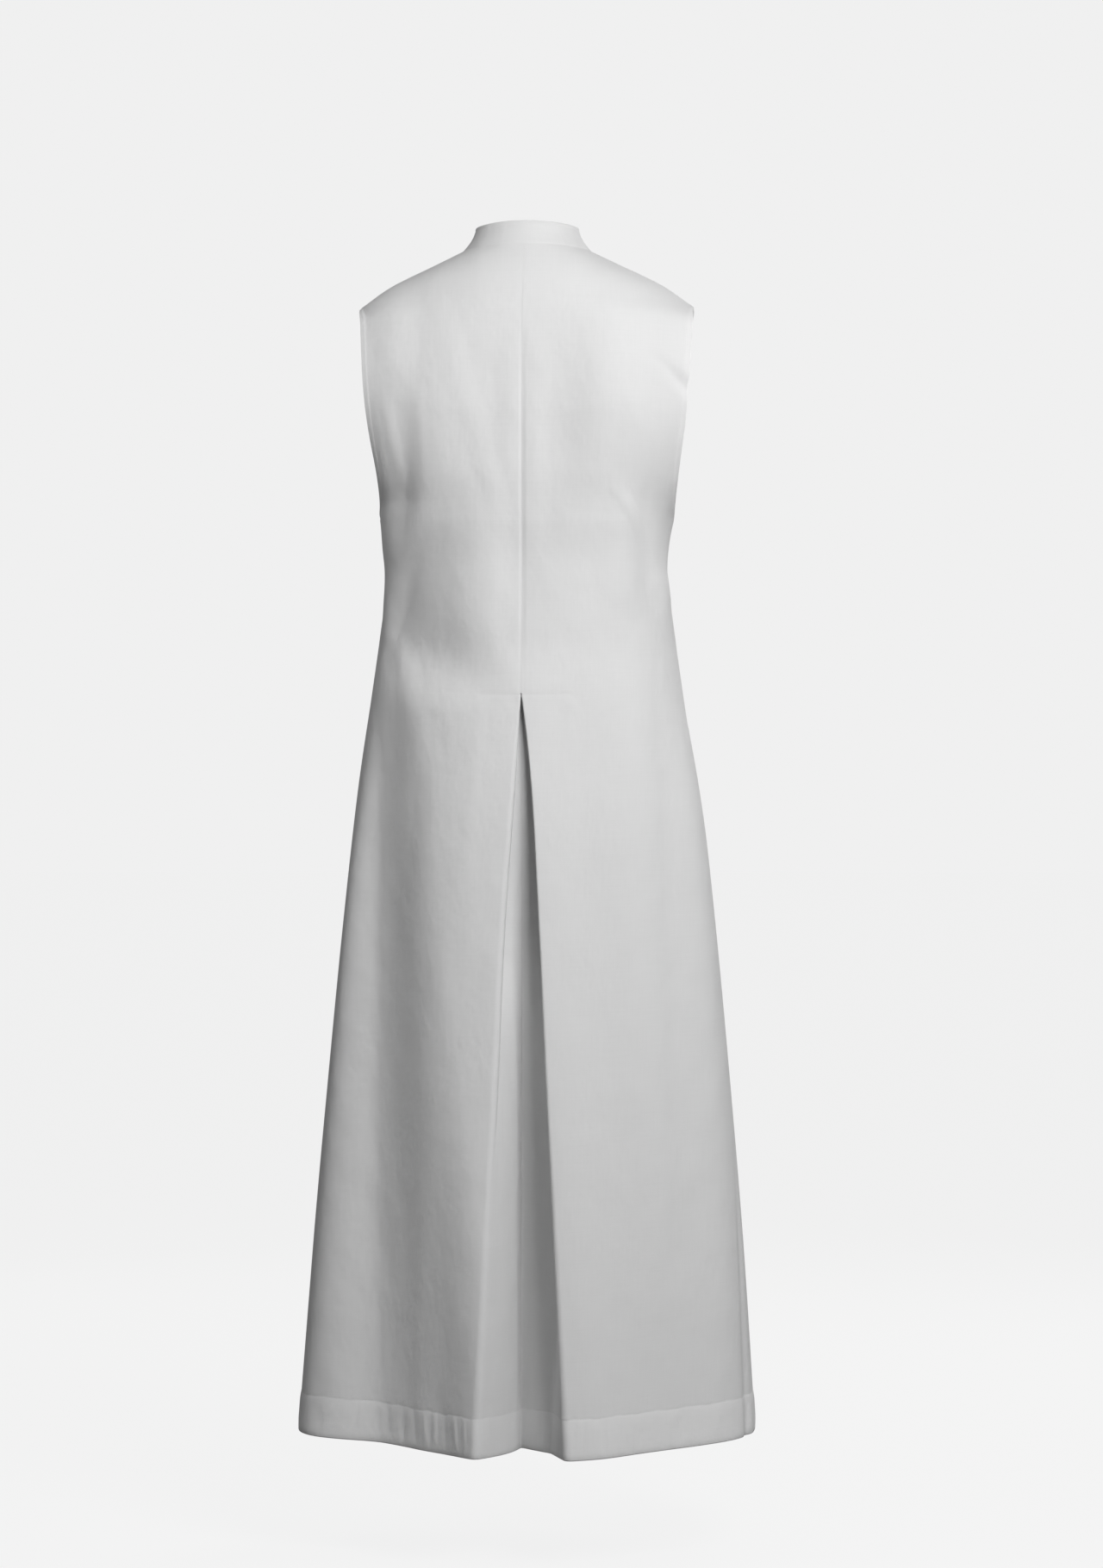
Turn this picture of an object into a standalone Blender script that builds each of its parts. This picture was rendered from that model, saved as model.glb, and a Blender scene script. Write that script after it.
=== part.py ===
"""
A sleeveless altar server cassock in the hollow form that it takes when it is worn.

It is built from its cut pieces: two back halves with their pleat extensions, two front halves
that lap at the centre front, a stand collar, and a row of buttons. Metres, +Z up. The front
faces -Y, the back faces +Y, and the wearer's left is +X. The origin is the centre of the neck
seam, at the height of the seam's centre back, where the shoulders hold the garment.
"""

import math
from collections import namedtuple
from functools import lru_cache

import bmesh
import bpy
from mathutils import Matrix, Vector

# Driving dimensions
CLOTH = 0.0016
COLLAR_CLOTH = 0.0022
SEAM_GAP = 0.0003
HEM_TURN_UP = 0.043
HEM_EXTRA = 0.0010
FRONT_LAP = 0.015
LAP_CLEARANCE = 0.0019
LAP_BLEND = 0.060
COLLAR_HEIGHT = 0.0285
BUTTON_DIAMETER = 0.014
BUTTON_THICKNESS = 0.0026
BUTTON_COUNT = 13
FIRST_BUTTON_Z = -0.090
LAST_BUTTON_Z = -1.110

# Level sections from the neck seam to the hem. Each gives the outer edge, which is the shoulder
# seam, the armhole or the side seam, and the middle of the back and of the front.
# The section rolls round to back_x or front_x, and where that is wider than edge_x the cloth
# stops short of it at the armhole. front_inset is how much further in the armhole lies in front, and
# flat is how square the section is across.
Section = namedtuple(
    "Section",
    "name edge_x edge_z back_x back_y back_z back_flat front_x front_y front_z front_inset front_flat",
)
SECTIONS = [
    Section("neck seam", 0.0750, -0.004, 0.0750, 0.062, 0.000, 2.0, 0.0750, 0.070, -0.052, 0.000, 2.0),
    Section("yoke", 0.1085, -0.020, 0.1085, 0.071, -0.018, 2.1, 0.1085, 0.079, -0.066, 0.000, 2.1),
    Section("shoulder", 0.1575, -0.044, 0.1575, 0.081, -0.038, 2.2, 0.1575, 0.088, -0.084, 0.000, 2.2),
    Section("shoulder tip", 0.1925, -0.068, 0.1925, 0.091, -0.062, 2.3, 0.1925, 0.097, -0.105, 0.000, 2.3),
    Section("upper armhole", 0.1910, -0.092, 0.2300, 0.100, -0.087, 2.4, 0.1980, 0.104, -0.124, 0.005, 2.4),
    Section("blades", 0.1880, -0.150, 0.2500, 0.114, -0.145, 2.4, 0.2035, 0.117, -0.165, 0.012, 2.4),
    Section("below blades", 0.1840, -0.205, 0.2350, 0.119, -0.200, 2.4, 0.2000, 0.126, -0.210, 0.014, 2.4),
    Section("lower armhole", 0.1770, -0.260, 0.2030, 0.119, -0.257, 2.4, 0.1880, 0.130, -0.262, 0.010, 2.4),
    Section("armhole turn", 0.1715, -0.299, 0.1810, 0.1165, -0.298, 2.4, 0.1765, 0.130, -0.302, 0.004, 2.4),
    Section("underarm", 0.1695, -0.315, 0.1695, 0.1150, -0.318, 2.4, 0.1695, 0.129, -0.320, 0.000, 2.4),
    Section("waist", 0.1620, -0.370, 0.1620, 0.110, -0.372, 2.3, 0.1620, 0.119, -0.374, 0.000, 2.3),
    Section("high hip", 0.1710, -0.450, 0.1710, 0.113, -0.452, 2.2, 0.1710, 0.118, -0.453, 0.000, 2.2),
    Section("pleat top", 0.1800, -0.515, 0.1800, 0.124, -0.518, 2.2, 0.1800, 0.123, -0.517, 0.000, 2.2),
    Section("seat", 0.1955, -0.620, 0.1955, 0.140, -0.624, 2.2, 0.1955, 0.133, -0.622, 0.000, 2.2),
    Section("thigh", 0.2135, -0.780, 0.2135, 0.158, -0.787, 2.1, 0.2135, 0.151, -0.783, 0.000, 2.1),
    Section("knee", 0.2300, -0.950, 0.2300, 0.178, -0.960, 2.1, 0.2300, 0.170, -0.955, 0.000, 2.1),
    Section("calf", 0.2480, -1.150, 0.2480, 0.205, -1.163, 2.0, 0.2480, 0.192, -1.156, 0.000, 2.0),
    Section("hem", 0.2630, -1.355, 0.2630, 0.235, -1.371, 2.0, 0.2630, 0.215, -1.362, 0.000, 2.0),
]
PLEAT_TOP = [section.name for section in SECTIONS].index("pleat top")
HEM = len(SECTIONS) - 1

# The inverted box pleat, a row for each section from the pleat's top down. The edges are how
# far the two fold edges stand from the centre back. From its fold edge the cloth turns by
# return_angle below the level line outwards, runs for return_length, turns again, and comes
# back to the pressed crease, which lies crease_depth behind the panels.
Pleat = namedtuple(
    "Pleat", "left_edge right_edge left_radius right_radius return_angle return_length crease_depth"
)
PLEATS = [
    Pleat(0.0000, 0.0000, 0.0012, 0.0012, 9.0, 0.0470, 0.0095),
    Pleat(0.0095, 0.0063, 0.0050, 0.0015, 15.0, 0.0420, 0.0240),
    Pleat(0.0175, 0.0163, 0.0060, 0.0018, 28.0, 0.0400, 0.0460),
    Pleat(0.0235, 0.0268, 0.0070, 0.0022, 50.0, 0.0425, 0.0680),
    Pleat(0.0325, 0.0391, 0.0080, 0.0028, 78.0, 0.0455, 0.0900),
    Pleat(0.0450, 0.0520, 0.0080, 0.0032, 108.0, 0.0520, 0.1050),
]
INNER_FOLD_RADIUS = 0.0014

# The largest folds of the cloth. Each runs down it from the height top to the height low, at a
# distance along the cloth from the middle of its half that goes from at_top to at_low, with a
# bow between. The widths are half widths, a negative height is a trough, and the fades are the
# lengths over which a fold comes and goes.
Crease = namedtuple(
    "Crease",
    "name top low at_top at_low bow wide_top wide_low high_top high_low fade_top fade_low",
)
CREASES = {
    "back_left": [
        Crease("flank trough", -0.42, -1.40, 0.158, 0.163, 0.017, 0.038, 0.176, -0.001, -0.042, 0.20, 0.00),
        Crease("side ridge", -0.50, -1.40, 0.205, 0.273, 0.004, 0.019, 0.081, 0.004, 0.027, 0.25, 0.00),
        Crease("waist hollow", -0.29, -0.54, 0.170, 0.069, 0.031, 0.086, 0.124, 0.005, -0.020, 0.08, 0.08),
        Crease("blade hollow", -0.13, -0.40, 0.160, 0.166, -0.014, 0.036, 0.035, -0.005, -0.005, 0.10, 0.12),
        Crease("middle hollow", -0.10, -0.46, 0.038, 0.056, 0.001, 0.067, 0.066, -0.006, 0.002, 0.08, 0.14),
        Crease("blade swell", -0.03, -0.30, 0.174, 0.169, -0.009, 0.057, 0.022, 0.005, 0.004, 0.06, 0.12),
        Crease("side swell", -0.28, -0.50, 0.165, 0.201, 0.000, 0.082, 0.013, 0.010, 0.008, 0.08, 0.10),
    ],
    "back_right": [
        Crease("flank plane", -0.42, -1.40, 0.066, 0.155, -0.010, 0.080, 0.067, -0.009, -0.007, 0.20, 0.00),
        Crease("side ridge", -0.45, -1.40, 0.202, 0.285, 0.008, 0.044, 0.102, 0.010, 0.020, 0.25, 0.00),
        Crease("middle hollow", -0.07, -0.40, 0.056, 0.037, -0.006, 0.047, 0.062, -0.001, -0.008, 0.08, 0.14),
        Crease("waist fold", -0.26, -0.44, 0.123, 0.125, -0.007, 0.033, 0.045, 0.003, 0.007, 0.07, 0.07),
        Crease("waist hollow", -0.24, -0.46, 0.140, 0.203, 0.002, 0.052, 0.030, -0.003, 0.011, 0.08, 0.08),
        Crease("blade swell", -0.03, -0.30, 0.110, 0.123, -0.002, 0.083, 0.077, 0.007, 0.009, 0.06, 0.12),
    ],
    "front_left": [
        Crease("flank trough", -0.42, -1.40, 0.150, 0.165, 0.012, 0.045, 0.110, -0.001, -0.026, 0.20, 0.0),
        Crease("side ridge", -0.50, -1.40, 0.205, 0.285, 0.003, 0.030, 0.080, 0.004, 0.020, 0.25, 0.0),
        Crease("knee ridge", -0.60, -1.40, 0.090, 0.105, 0.000, 0.040, 0.055, 0.002, 0.010, 0.30, 0.0),
        Crease("chest swell", -0.10, -0.36, 0.130, 0.110, 0.000, 0.060, 0.060, 0.004, 0.002, 0.08, 0.10),
        Crease("waist hollow", -0.28, -0.52, 0.130, 0.105, 0.000, 0.050, 0.050, -0.003, -0.008, 0.08, 0.12),
    ],
    "front_right": [
        Crease("flank trough", -0.42, -1.40, 0.140, 0.175, 0.010, 0.045, 0.100, -0.001, -0.020, 0.20, 0.0),
        Crease("side ridge", -0.50, -1.40, 0.200, 0.280, 0.003, 0.030, 0.085, 0.004, 0.018, 0.25, 0.0),
        Crease("knee ridge", -0.66, -1.40, 0.105, 0.125, 0.000, 0.045, 0.055, 0.002, 0.008, 0.30, 0.0),
        Crease("chest swell", -0.10, -0.36, 0.125, 0.110, 0.000, 0.060, 0.060, 0.004, 0.002, 0.08, 0.10),
        Crease("waist hollow", -0.28, -0.52, 0.120, 0.098, 0.000, 0.050, 0.050, -0.003, -0.007, 0.08, 0.12),
    ],
}
# The hollow along the spine, which the centre back seam lies in
SPINE_TOP = -0.06
SPINE_LOW = -0.51
SPINE_FADE = (0.12, 0.16)
SPINE_WIDE = 0.095
SPINE_DEEP = 0.0055

# Creases die away towards the seams: within these distances of the middle, above the pleat, and
# of the shoulder and side seams.
PINNED_AT_MIDDLE = 0.035
PINNED_AT_SEAM = 0.025
PINNED_AT_FRONT = (0.020, 0.070)
PINNED_ABOVE = -0.50
FREE_BELOW = -0.60

# How finely the pieces are cut into facets
PANEL_COLUMNS = 14
ROWS_BETWEEN = [1, 1, 1, 1, 1, 1, 1, 1, 1, 1, 2, 1, 2, 2, 2, 2, 2]
ARC_STEPS = 4
ARC_CHORDS = 20
RETURN_STEPS = 2
UNDERLAY_STEPS = 3
STEP_ABOVE_PLEAT = 0.05
STEP_AT_HEM_LINE = 0.01
COLLAR_COLUMNS = 44
COLLAR_ROWS = 4
BUTTON_SIDES = 12

WHITE_CLOTH = (0.86, 0.86, 0.86, 1.0)
WHITE_PLASTIC = (0.90, 0.90, 0.88, 1.0)


def eased(values, at):
    """The value at a fractional index of a list, on a smooth curve that doesn't overshoot."""
    last = len(values) - 1
    low = min(int(at), last - 1)
    part = at - low

    def slope(index):
        before = values[max(index, 1)] - values[max(index, 1) - 1]
        after = values[min(index, last - 1) + 1] - values[min(index, last - 1)]
        if before * after <= 0.0:
            return 0.0
        return 2.0 * before * after / (before + after)

    rise = values[low + 1] - values[low]
    bend = 3.0 * part**2 - 2.0 * part**3
    start = slope(low) * (part - 2.0 * part**2 + part**3)
    end = slope(low + 1) * (part**3 - part**2)
    return values[low] + rise * bend + start + end


@lru_cache(maxsize=None)
def section_at(row):
    """The section at a fractional row of the table."""
    columns = zip(*[section[1:] for section in SECTIONS])
    return Section("between", *[eased(column, row) for column in columns])


def pleat_at(row):
    """The pleat's measures at a fractional row of the section table."""
    return Pleat(*[eased(column, row - PLEAT_TOP) for column in zip(*PLEATS)])


def row_of(name):
    """The row of the section that has this name."""
    return [section.name for section in SECTIONS].index(name)


def ramp(value, start, end):
    """0 before start, 1 after end, and a smooth step between."""
    share = min(1.0, max(0.0, (value - start) / (end - start)))
    return share * share * (3.0 - 2.0 * share)


def half_of(piece):
    """Whether a panel is a back one, and 1 for the wearer's left or -1 for the right."""
    return piece.startswith("back"), 1.0 if piece.endswith("left") else -1.0


@lru_cache(maxsize=None)
def side_at(piece, row):
    """A panel's own measures at a row: edge, width, reach, the middle's height and squareness."""
    is_back, _ = half_of(piece)
    section = section_at(row)
    if is_back:
        return section.edge_x, section.back_x, section.back_y, section.back_z, section.back_flat
    edge = section.edge_x - section.front_inset
    return edge, section.front_x, section.front_y, section.front_z, section.front_flat


def plain_point(piece, row, turn):
    """A point on the unfolded form: turn 0 is the middle and 1 the outer edge."""
    edge, width, reach, middle_z, flat = side_at(piece, row)
    stop = min(1.0, edge / width)
    share = math.sin(turn * math.asin(stop))
    depth = reach * math.sqrt(max(0.0, 1.0 - abs(share) ** flat))
    height = middle_z + (section_at(row).edge_z - middle_z) * (share / stop) ** 2
    return Vector((width * share, depth, height))


def turn_at(piece, row, x):
    """The turn at which the unfolded form lies this far from the middle plane."""
    edge, width, _, _, _ = side_at(piece, row)
    return math.asin(x / width) / math.asin(min(1.0, edge / width))


def arc_length(piece, row, turn):
    """The distance along the unfolded cloth from the middle to a turn."""
    line = [plain_point(piece, row, turn * step / ARC_CHORDS) for step in range(ARC_CHORDS + 1)]
    run = sum((end - start).length for start, end in zip(line, line[1:]))
    return math.copysign(run, turn)


@lru_cache(maxsize=None)
def half_girth(piece, row):
    """The distance along the unfolded cloth from the middle to the outer edge."""
    return arc_length(piece, row, 1.0)


def pinning(piece, row, arc, height):
    """How free the cloth is to fold at a place: 0 at a seam that holds it and 1 away from one."""
    is_back, _ = half_of(piece)
    if is_back:
        pinned = 1.0 - ramp(-height, -PINNED_ABOVE, -FREE_BELOW)
        free = 1.0 - pinned * (1.0 - ramp(arc, 0.0, PINNED_AT_MIDDLE))
    else:
        free = ramp(arc, *PINNED_AT_FRONT)
    tip, turn = row_of("shoulder tip"), row_of("armhole turn")
    open_edge = ramp(row, tip, tip + 1) * (1.0 - ramp(row, turn, turn + 1))
    at_edge = ramp(half_girth(piece, row) - arc, 0.0, PINNED_AT_SEAM)
    return free * (open_edge + (1.0 - open_edge) * at_edge)


def crease_lift(piece, row, arc, height):
    """How far the creases of a panel lift its cloth at a place."""
    total = 0.0
    for crease in CREASES[piece]:
        down = (crease.top - height) / (crease.top - crease.low)
        if not 0.0 < down < 1.0:
            continue
        centre = crease.at_top + (crease.at_low - crease.at_top) * down
        centre += crease.bow * 4.0 * down * (1.0 - down)
        away = abs(arc - centre) / (crease.wide_top + (crease.wide_low - crease.wide_top) * down)
        high = crease.high_top + (crease.high_low - crease.high_top) * down
        if crease.fade_top > 0.0:
            high *= ramp(crease.top - height, 0.0, crease.fade_top)
        if crease.fade_low > 0.0:
            high *= ramp(height - crease.low, 0.0, crease.fade_low)
        if away < 1.0:
            total += high * (0.5 + 0.5 * math.cos(math.pi * away))
    return total * pinning(piece, row, arc, height)


def spine_lift(piece, arc, height):
    """How far the hollow along the spine takes in the back at a place."""
    if not piece.startswith("back"):
        return 0.0
    deep = SPINE_DEEP * ramp(SPINE_TOP - height, 0.0, SPINE_FADE[0])
    deep *= ramp(height - SPINE_LOW, 0.0, SPINE_FADE[1])
    return -deep * max(0.0, 1.0 - arc / SPINE_WIDE) ** 2


def panel_point(piece, row, turn):
    """A point on the middle of a panel's cloth, with its folds, on the side where it is worn."""
    is_back, side = half_of(piece)
    step = 0.01
    here = plain_point(piece, row, turn)
    ahead = plain_point(piece, row, min(1.0, turn + step))
    behind = plain_point(piece, row, min(1.0, turn + step) - 2.0 * step)
    along = (ahead - behind).to_2d().normalized()
    out = Vector((-along.y, along.x))
    arc = arc_length(piece, row, turn)
    lift = crease_lift(piece, row, arc, here.z) + spine_lift(piece, arc, here.z)
    if piece == "front_right":
        lift -= (CLOTH + LAP_CLEARANCE) * (1.0 - ramp(here.x, FRONT_LAP, LAP_BLEND))
    here.x += out.x * lift
    here.y += out.y * lift
    facing = 1.0 if is_back else -1.0
    return Vector((side * here.x, facing * here.y, here.z))


def panel_rows(piece):
    """The rows of facets of a panel, as fractional rows of the section table."""
    rows = []
    for low, count in enumerate(ROWS_BETWEEN):
        rows += [low + part / count for part in range(count)]
    is_back, _ = half_of(piece)
    heights = [section.back_z if is_back else section.front_z for section in SECTIONS]
    share = 1.0 - HEM_TURN_UP / (heights[HEM - 1] - heights[HEM])
    hem_line = HEM - 1 + share
    rows += [hem_line - STEP_AT_HEM_LINE, hem_line, HEM]
    if is_back:
        rows.append(PLEAT_TOP - STEP_ABOVE_PLEAT)
    return sorted(rows), hem_line


def heading(angle):
    """The unit vector at an angle, and the one to its left."""
    return Vector((math.cos(angle), math.sin(angle))), Vector((-math.sin(angle), math.cos(angle)))


def pleat_path(piece, row):
    """The pleat extension seen from above, from the panel's middle edge to the pressed crease."""
    _, side = half_of(piece)
    pleat = pleat_at(row)
    edge, radius = pleat.left_edge, pleat.left_radius
    if side < 0.0:
        edge, radius = pleat.right_edge, pleat.right_radius
    edge += (CLOTH + SEAM_GAP) / 2.0
    turn = turn_at(piece, row, edge + radius)
    start = panel_point(piece, row, turn)
    further = panel_point(piece, row, turn + 0.01)
    level = start.z
    first = Vector((abs(start.x), start.y))
    along = first - Vector((abs(further.x), further.y))
    angle = math.atan2(along.y, along.x) % (2.0 * math.pi)

    turned = 2.0 * math.pi - math.radians(pleat.return_angle)
    centre = first + radius * heading(angle)[1]
    path = []
    for step in range(1, ARC_STEPS + 1):
        at = angle + (turned - angle) * step / ARC_STEPS
        path.append(centre - radius * heading(at)[1])
    forward, left = heading(turned)
    corner = path[-1]
    for step in range(1, RETURN_STEPS + 1):
        path.append(corner + forward * pleat.return_length * step / RETURN_STEPS)

    inner = path[-1] - INNER_FOLD_RADIUS * left
    crease = Vector((SEAM_GAP / 2.0, plain_point(piece, row, 0.0).y - pleat.crease_depth))
    reach = crease - inner
    run = math.sqrt(reach.length_squared - INNER_FOLD_RADIUS**2)
    back = math.atan2(reach.y, reach.x) - math.atan2(INNER_FOLD_RADIUS, run)
    back %= 2.0 * math.pi
    for step in range(1, ARC_STEPS + 1):
        at = turned + (min(back, turned) - turned) * step / ARC_STEPS
        path.append(inner + INNER_FOLD_RADIUS * heading(at)[1])
    corner = path[-1]
    for step in range(1, UNDERLAY_STEPS + 1):
        path.append(corner + (crease - corner) * step / UNDERLAY_STEPS)
    return turn, [Vector((side * point.x, point.y, level)) for point in path]


def panel_points(piece):
    """The middle of a panel's cloth as a grid: columns outwards, rows down, pleat to the left."""
    is_back, side = half_of(piece)
    rows, hem_line = panel_rows(piece)
    grid = {}
    for index, row in enumerate(rows):
        if is_back and row >= PLEAT_TOP:
            first, path = pleat_path(piece, row)
            for step, point in enumerate(path):
                grid[(-1 - step, index)] = point
        elif is_back:
            first = turn_at(piece, row, SEAM_GAP / 2.0)
        else:
            first = turn_at(piece, row, -FRONT_LAP)
        for column in range(PANEL_COLUMNS + 1):
            turn = first + (1.0 - first) * column / PANEL_COLUMNS
            grid[(column, index)] = panel_point(piece, row, turn)
    inside = {}
    for column, index in grid:
        extra = HEM_EXTRA if rows[index] >= hem_line else 0.0
        inside[(column, index)] = CLOTH / 2.0 + extra
    return grid, inside, rows


def cloth_normal(grid, spot):
    """The direction across the cloth at a spot of its grid."""
    column, row = spot
    right = grid.get((column + 1, row), grid[spot])
    left = grid.get((column - 1, row), grid[spot])
    below = grid.get((column, row + 1), grid[spot])
    above = grid.get((column, row - 1), grid[spot])
    return (right - left).cross(below - above).normalized()


def two_facets(grid, ring):
    """The two triangles of a patch, cut along its shorter diagonal."""
    corners = [grid[spot] for spot in ring]
    if (corners[3] - corners[1]).length < (corners[2] - corners[0]).length:
        ring = ring[1:] + ring[:1]
    return ring[:3], ring[2:] + ring[:1]


def wall_from_grid(name, grid, outside, inside, facing, trim):
    """A closed wall on both sides of a grid of points, with a rim wherever the grid ends."""
    mesh = bmesh.new()
    outer, inner = {}, {}
    for spot, point in grid.items():
        normal = cloth_normal(grid, spot) * facing
        outer[spot] = mesh.verts.new(trim(spot, point + normal * outside))
        inner[spot] = mesh.verts.new(trim(spot, point - normal * inside[spot]))
    edges = {}
    for column, row in grid:
        ring = [(column, row), (column + 1, row), (column + 1, row + 1), (column, row + 1)]
        if not all(spot in grid for spot in ring):
            continue
        for facet in two_facets(grid, ring):
            mesh.faces.new([outer[spot] for spot in facet])
            mesh.faces.new([inner[spot] for spot in reversed(facet)])
        for start, end in zip(ring, ring[1:] + ring[:1]):
            if (end, start) in edges:
                del edges[(end, start)]
            else:
                edges[(start, end)] = True
    for start, end in edges:
        mesh.faces.new([outer[end], outer[start], inner[start], inner[end]])
    if facing < 0.0:
        bmesh.ops.reverse_faces(mesh, faces=mesh.faces)
    return object_from(name, mesh)


def object_from(name, mesh):
    """A named object with smooth shading between its sharp edges."""
    data = bpy.data.meshes.new(name)
    mesh.to_mesh(data)
    mesh.free()
    data.shade_smooth()
    data.set_sharp_from_angle(angle=math.radians(40.0))
    thing = bpy.data.objects.new(name, data)
    bpy.context.collection.objects.link(thing)
    return thing


def give_material(thing, colour, roughness):
    """A material of the object's own."""
    material = bpy.data.materials.new(thing.name)
    material.use_nodes = True
    shader = material.node_tree.nodes["Principled BSDF"]
    shader.inputs["Base Color"].default_value = colour
    shader.inputs["Roughness"].default_value = roughness
    shader.inputs["Metallic"].default_value = 0.0
    thing.data.materials.append(material)


def make_panel(piece):
    """A front or back half, cut off square at its seams."""
    is_back, side = half_of(piece)
    facing = side if is_back else -side
    grid, inside, rows = panel_points(piece)
    last_pleat = min(column for column, _ in grid)
    armhole = (row_of("shoulder tip"), row_of("underarm"))
    seam_y = SEAM_GAP / 2.0 if is_back else -SEAM_GAP / 2.0

    def trim(spot, point):
        column, index = spot
        row = rows[index]
        if column == PANEL_COLUMNS and not armhole[0] < row < armhole[1]:
            point.y = seam_y
        if is_back and column == 0 and row < PLEAT_TOP:
            point.x = side * SEAM_GAP / 2.0
        if is_back and column == last_pleat:
            run = grid[spot] - grid[(column + 1, index)]
            point = point + run * ((side * SEAM_GAP / 2.0 - point.x) / run.x)
        return point

    panel = wall_from_grid(piece, grid, CLOTH / 2.0, inside, facing, trim)
    give_material(panel, WHITE_CLOTH, 0.85)


# The collar stands on the neck seam and leans in. Its top ring, in the same measures as the
# neck seam: half width, reach to the back and to the front, and heights.
COLLAR_TOP_X = 0.0590
COLLAR_TOP_BACK = 0.050
COLLAR_TOP_FRONT = 0.062
COLLAR_LEAN = 1.8
COLLAR_LIFT = 0.0016
COLLAR_LAP = 0.012
COLLAR_LAP_BLEND = 0.035


def collar_point(angle, height):
    """A point on the middle of the collar: angle 0 is the centre back, height 0 to 1."""
    seam = SECTIONS[0]
    across, deep = math.sin(angle), math.cos(angle)
    seam_reach, top_reach = seam.back_y, COLLAR_TOP_BACK
    middle_z = seam.back_z
    if deep < 0.0:
        seam_reach, top_reach = seam.front_y, COLLAR_TOP_FRONT
        middle_z = seam.front_z
    lean = 1.0 - (1.0 - height) ** COLLAR_LEAN
    half_width = seam.edge_x + (COLLAR_TOP_X - seam.edge_x) * lean
    reach = seam_reach + (top_reach - seam_reach) * lean
    base = middle_z + (seam.edge_z - middle_z) * across**2
    return Vector((half_width * across, reach * deep, base + COLLAR_LIFT + COLLAR_HEIGHT * height))


def collar_end(lap):
    """How far round from the centre back the collar reaches, so that it laps by this much."""
    return math.pi + math.asin(lap / COLLAR_TOP_X)


def make_collar():
    """A stand collar whose left end laps over its right end at the centre front."""
    grid, inside = {}, {}
    end = collar_end(COLLAR_LAP)
    for column in range(COLLAR_COLUMNS + 1):
        angle = -end + 2.0 * end * column / COLLAR_COLUMNS
        for row in range(COLLAR_ROWS + 1):
            point = collar_point(angle, 1.0 - row / COLLAR_ROWS)
            if angle < -math.pi / 2.0:
                past = point.x + COLLAR_LAP_BLEND
                point.y += (COLLAR_CLOTH + LAP_CLEARANCE) * ramp(past, 0.0, COLLAR_LAP_BLEND - COLLAR_LAP)
            grid[(column, row)] = point
            inside[(column, row)] = COLLAR_CLOTH / 2.0
    collar = wall_from_grid("collar", grid, COLLAR_CLOTH / 2.0, inside, 1.0, lambda spot, point: point)
    give_material(collar, WHITE_CLOTH, 0.85)


def make_button(name, seat, normal):
    """A flat round button with an eased rim, lying just clear of the cloth under it."""
    mesh = bmesh.new()
    radius = BUTTON_DIAMETER / 2.0
    bmesh.ops.create_cone(
        mesh,
        cap_ends=True,
        segments=BUTTON_SIDES,
        radius1=radius,
        radius2=radius,
        depth=BUTTON_THICKNESS,
    )
    rim = [edge for edge in mesh.edges if edge.verts[0].co.z > 0.0 and edge.verts[1].co.z > 0.0]
    bmesh.ops.bevel(mesh, geom=rim, offset=BUTTON_THICKNESS * 0.35, segments=1, affect="EDGES")
    turn = Vector((0.0, 0.0, 1.0)).rotation_difference(normal).to_matrix().to_4x4()
    place = Matrix.Translation(seat + normal * BUTTON_THICKNESS / 2.0)
    mesh.transform(place @ turn)
    give_material(object_from(name, mesh), WHITE_PLASTIC, 0.35)


def outward_from(slope):
    """The direction towards the front that is square to a slope in the middle plane."""
    normal = Vector((1.0, 0.0, 0.0)).cross(slope).normalized()
    return -normal if normal.y > 0.0 else normal


def front_middle():
    """The middle of the left front's cloth at x 0, one point for each of its rows."""
    rows, _ = panel_rows("front_left")
    return [panel_point("front_left", row, 0.0) for row in rows]


def middle_at(line, height):
    """The point of a falling line at a height."""
    for above, below in zip(line, line[1:]):
        if above.z >= height >= below.z:
            return above.lerp(below, (above.z - height) / (above.z - below.z))
    return line[-1]


def make_buttons():
    """One button on the collar's lap and the rest evenly down the left front's middle."""
    radius = BUTTON_DIAMETER / 2.0
    clear = SEAM_GAP + 0.0002
    normal = outward_from(collar_point(math.pi, 0.6) - collar_point(math.pi, 0.3))
    seat = collar_point(math.pi, 0.45) + normal * (COLLAR_CLOTH / 2.0 + clear)
    make_button("button_collar", seat, normal)
    line = front_middle()
    for number in range(BUTTON_COUNT):
        height = FIRST_BUTTON_Z + (LAST_BUTTON_Z - FIRST_BUTTON_Z) * number / (BUTTON_COUNT - 1)
        under = [middle_at(line, height + radius * share) for share in (1.0, 0.5, 0.0, -0.5, -1.0)]
        normal = outward_from(under[0] - under[-1])
        proud = max((point - under[2]).dot(normal) for point in under)
        seat = under[2] + normal * (proud + CLOTH / 2.0 + clear)
        make_button(f"button_{number + 1:02d}", seat, normal)


def main():
    for thing in list(bpy.data.objects):
        bpy.data.objects.remove(thing, do_unlink=True)
    for piece in ("back_left", "back_right", "front_left", "front_right"):
        make_panel(piece)
    make_collar()
    make_buttons()


main()
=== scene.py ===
"""
The looks of a sleeveless altar server cassock in its hollow worn form.

Every panel is a thin sheet of cloth laid on the form that its solid holds, with its folds placed
one by one. Metres, +Z up: the front faces -Y, the back +Y, and the wearer's left is +X.
"""

import math
from collections import namedtuple

import bpy
import numpy as np
from mathutils import Matrix, Vector


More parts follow.
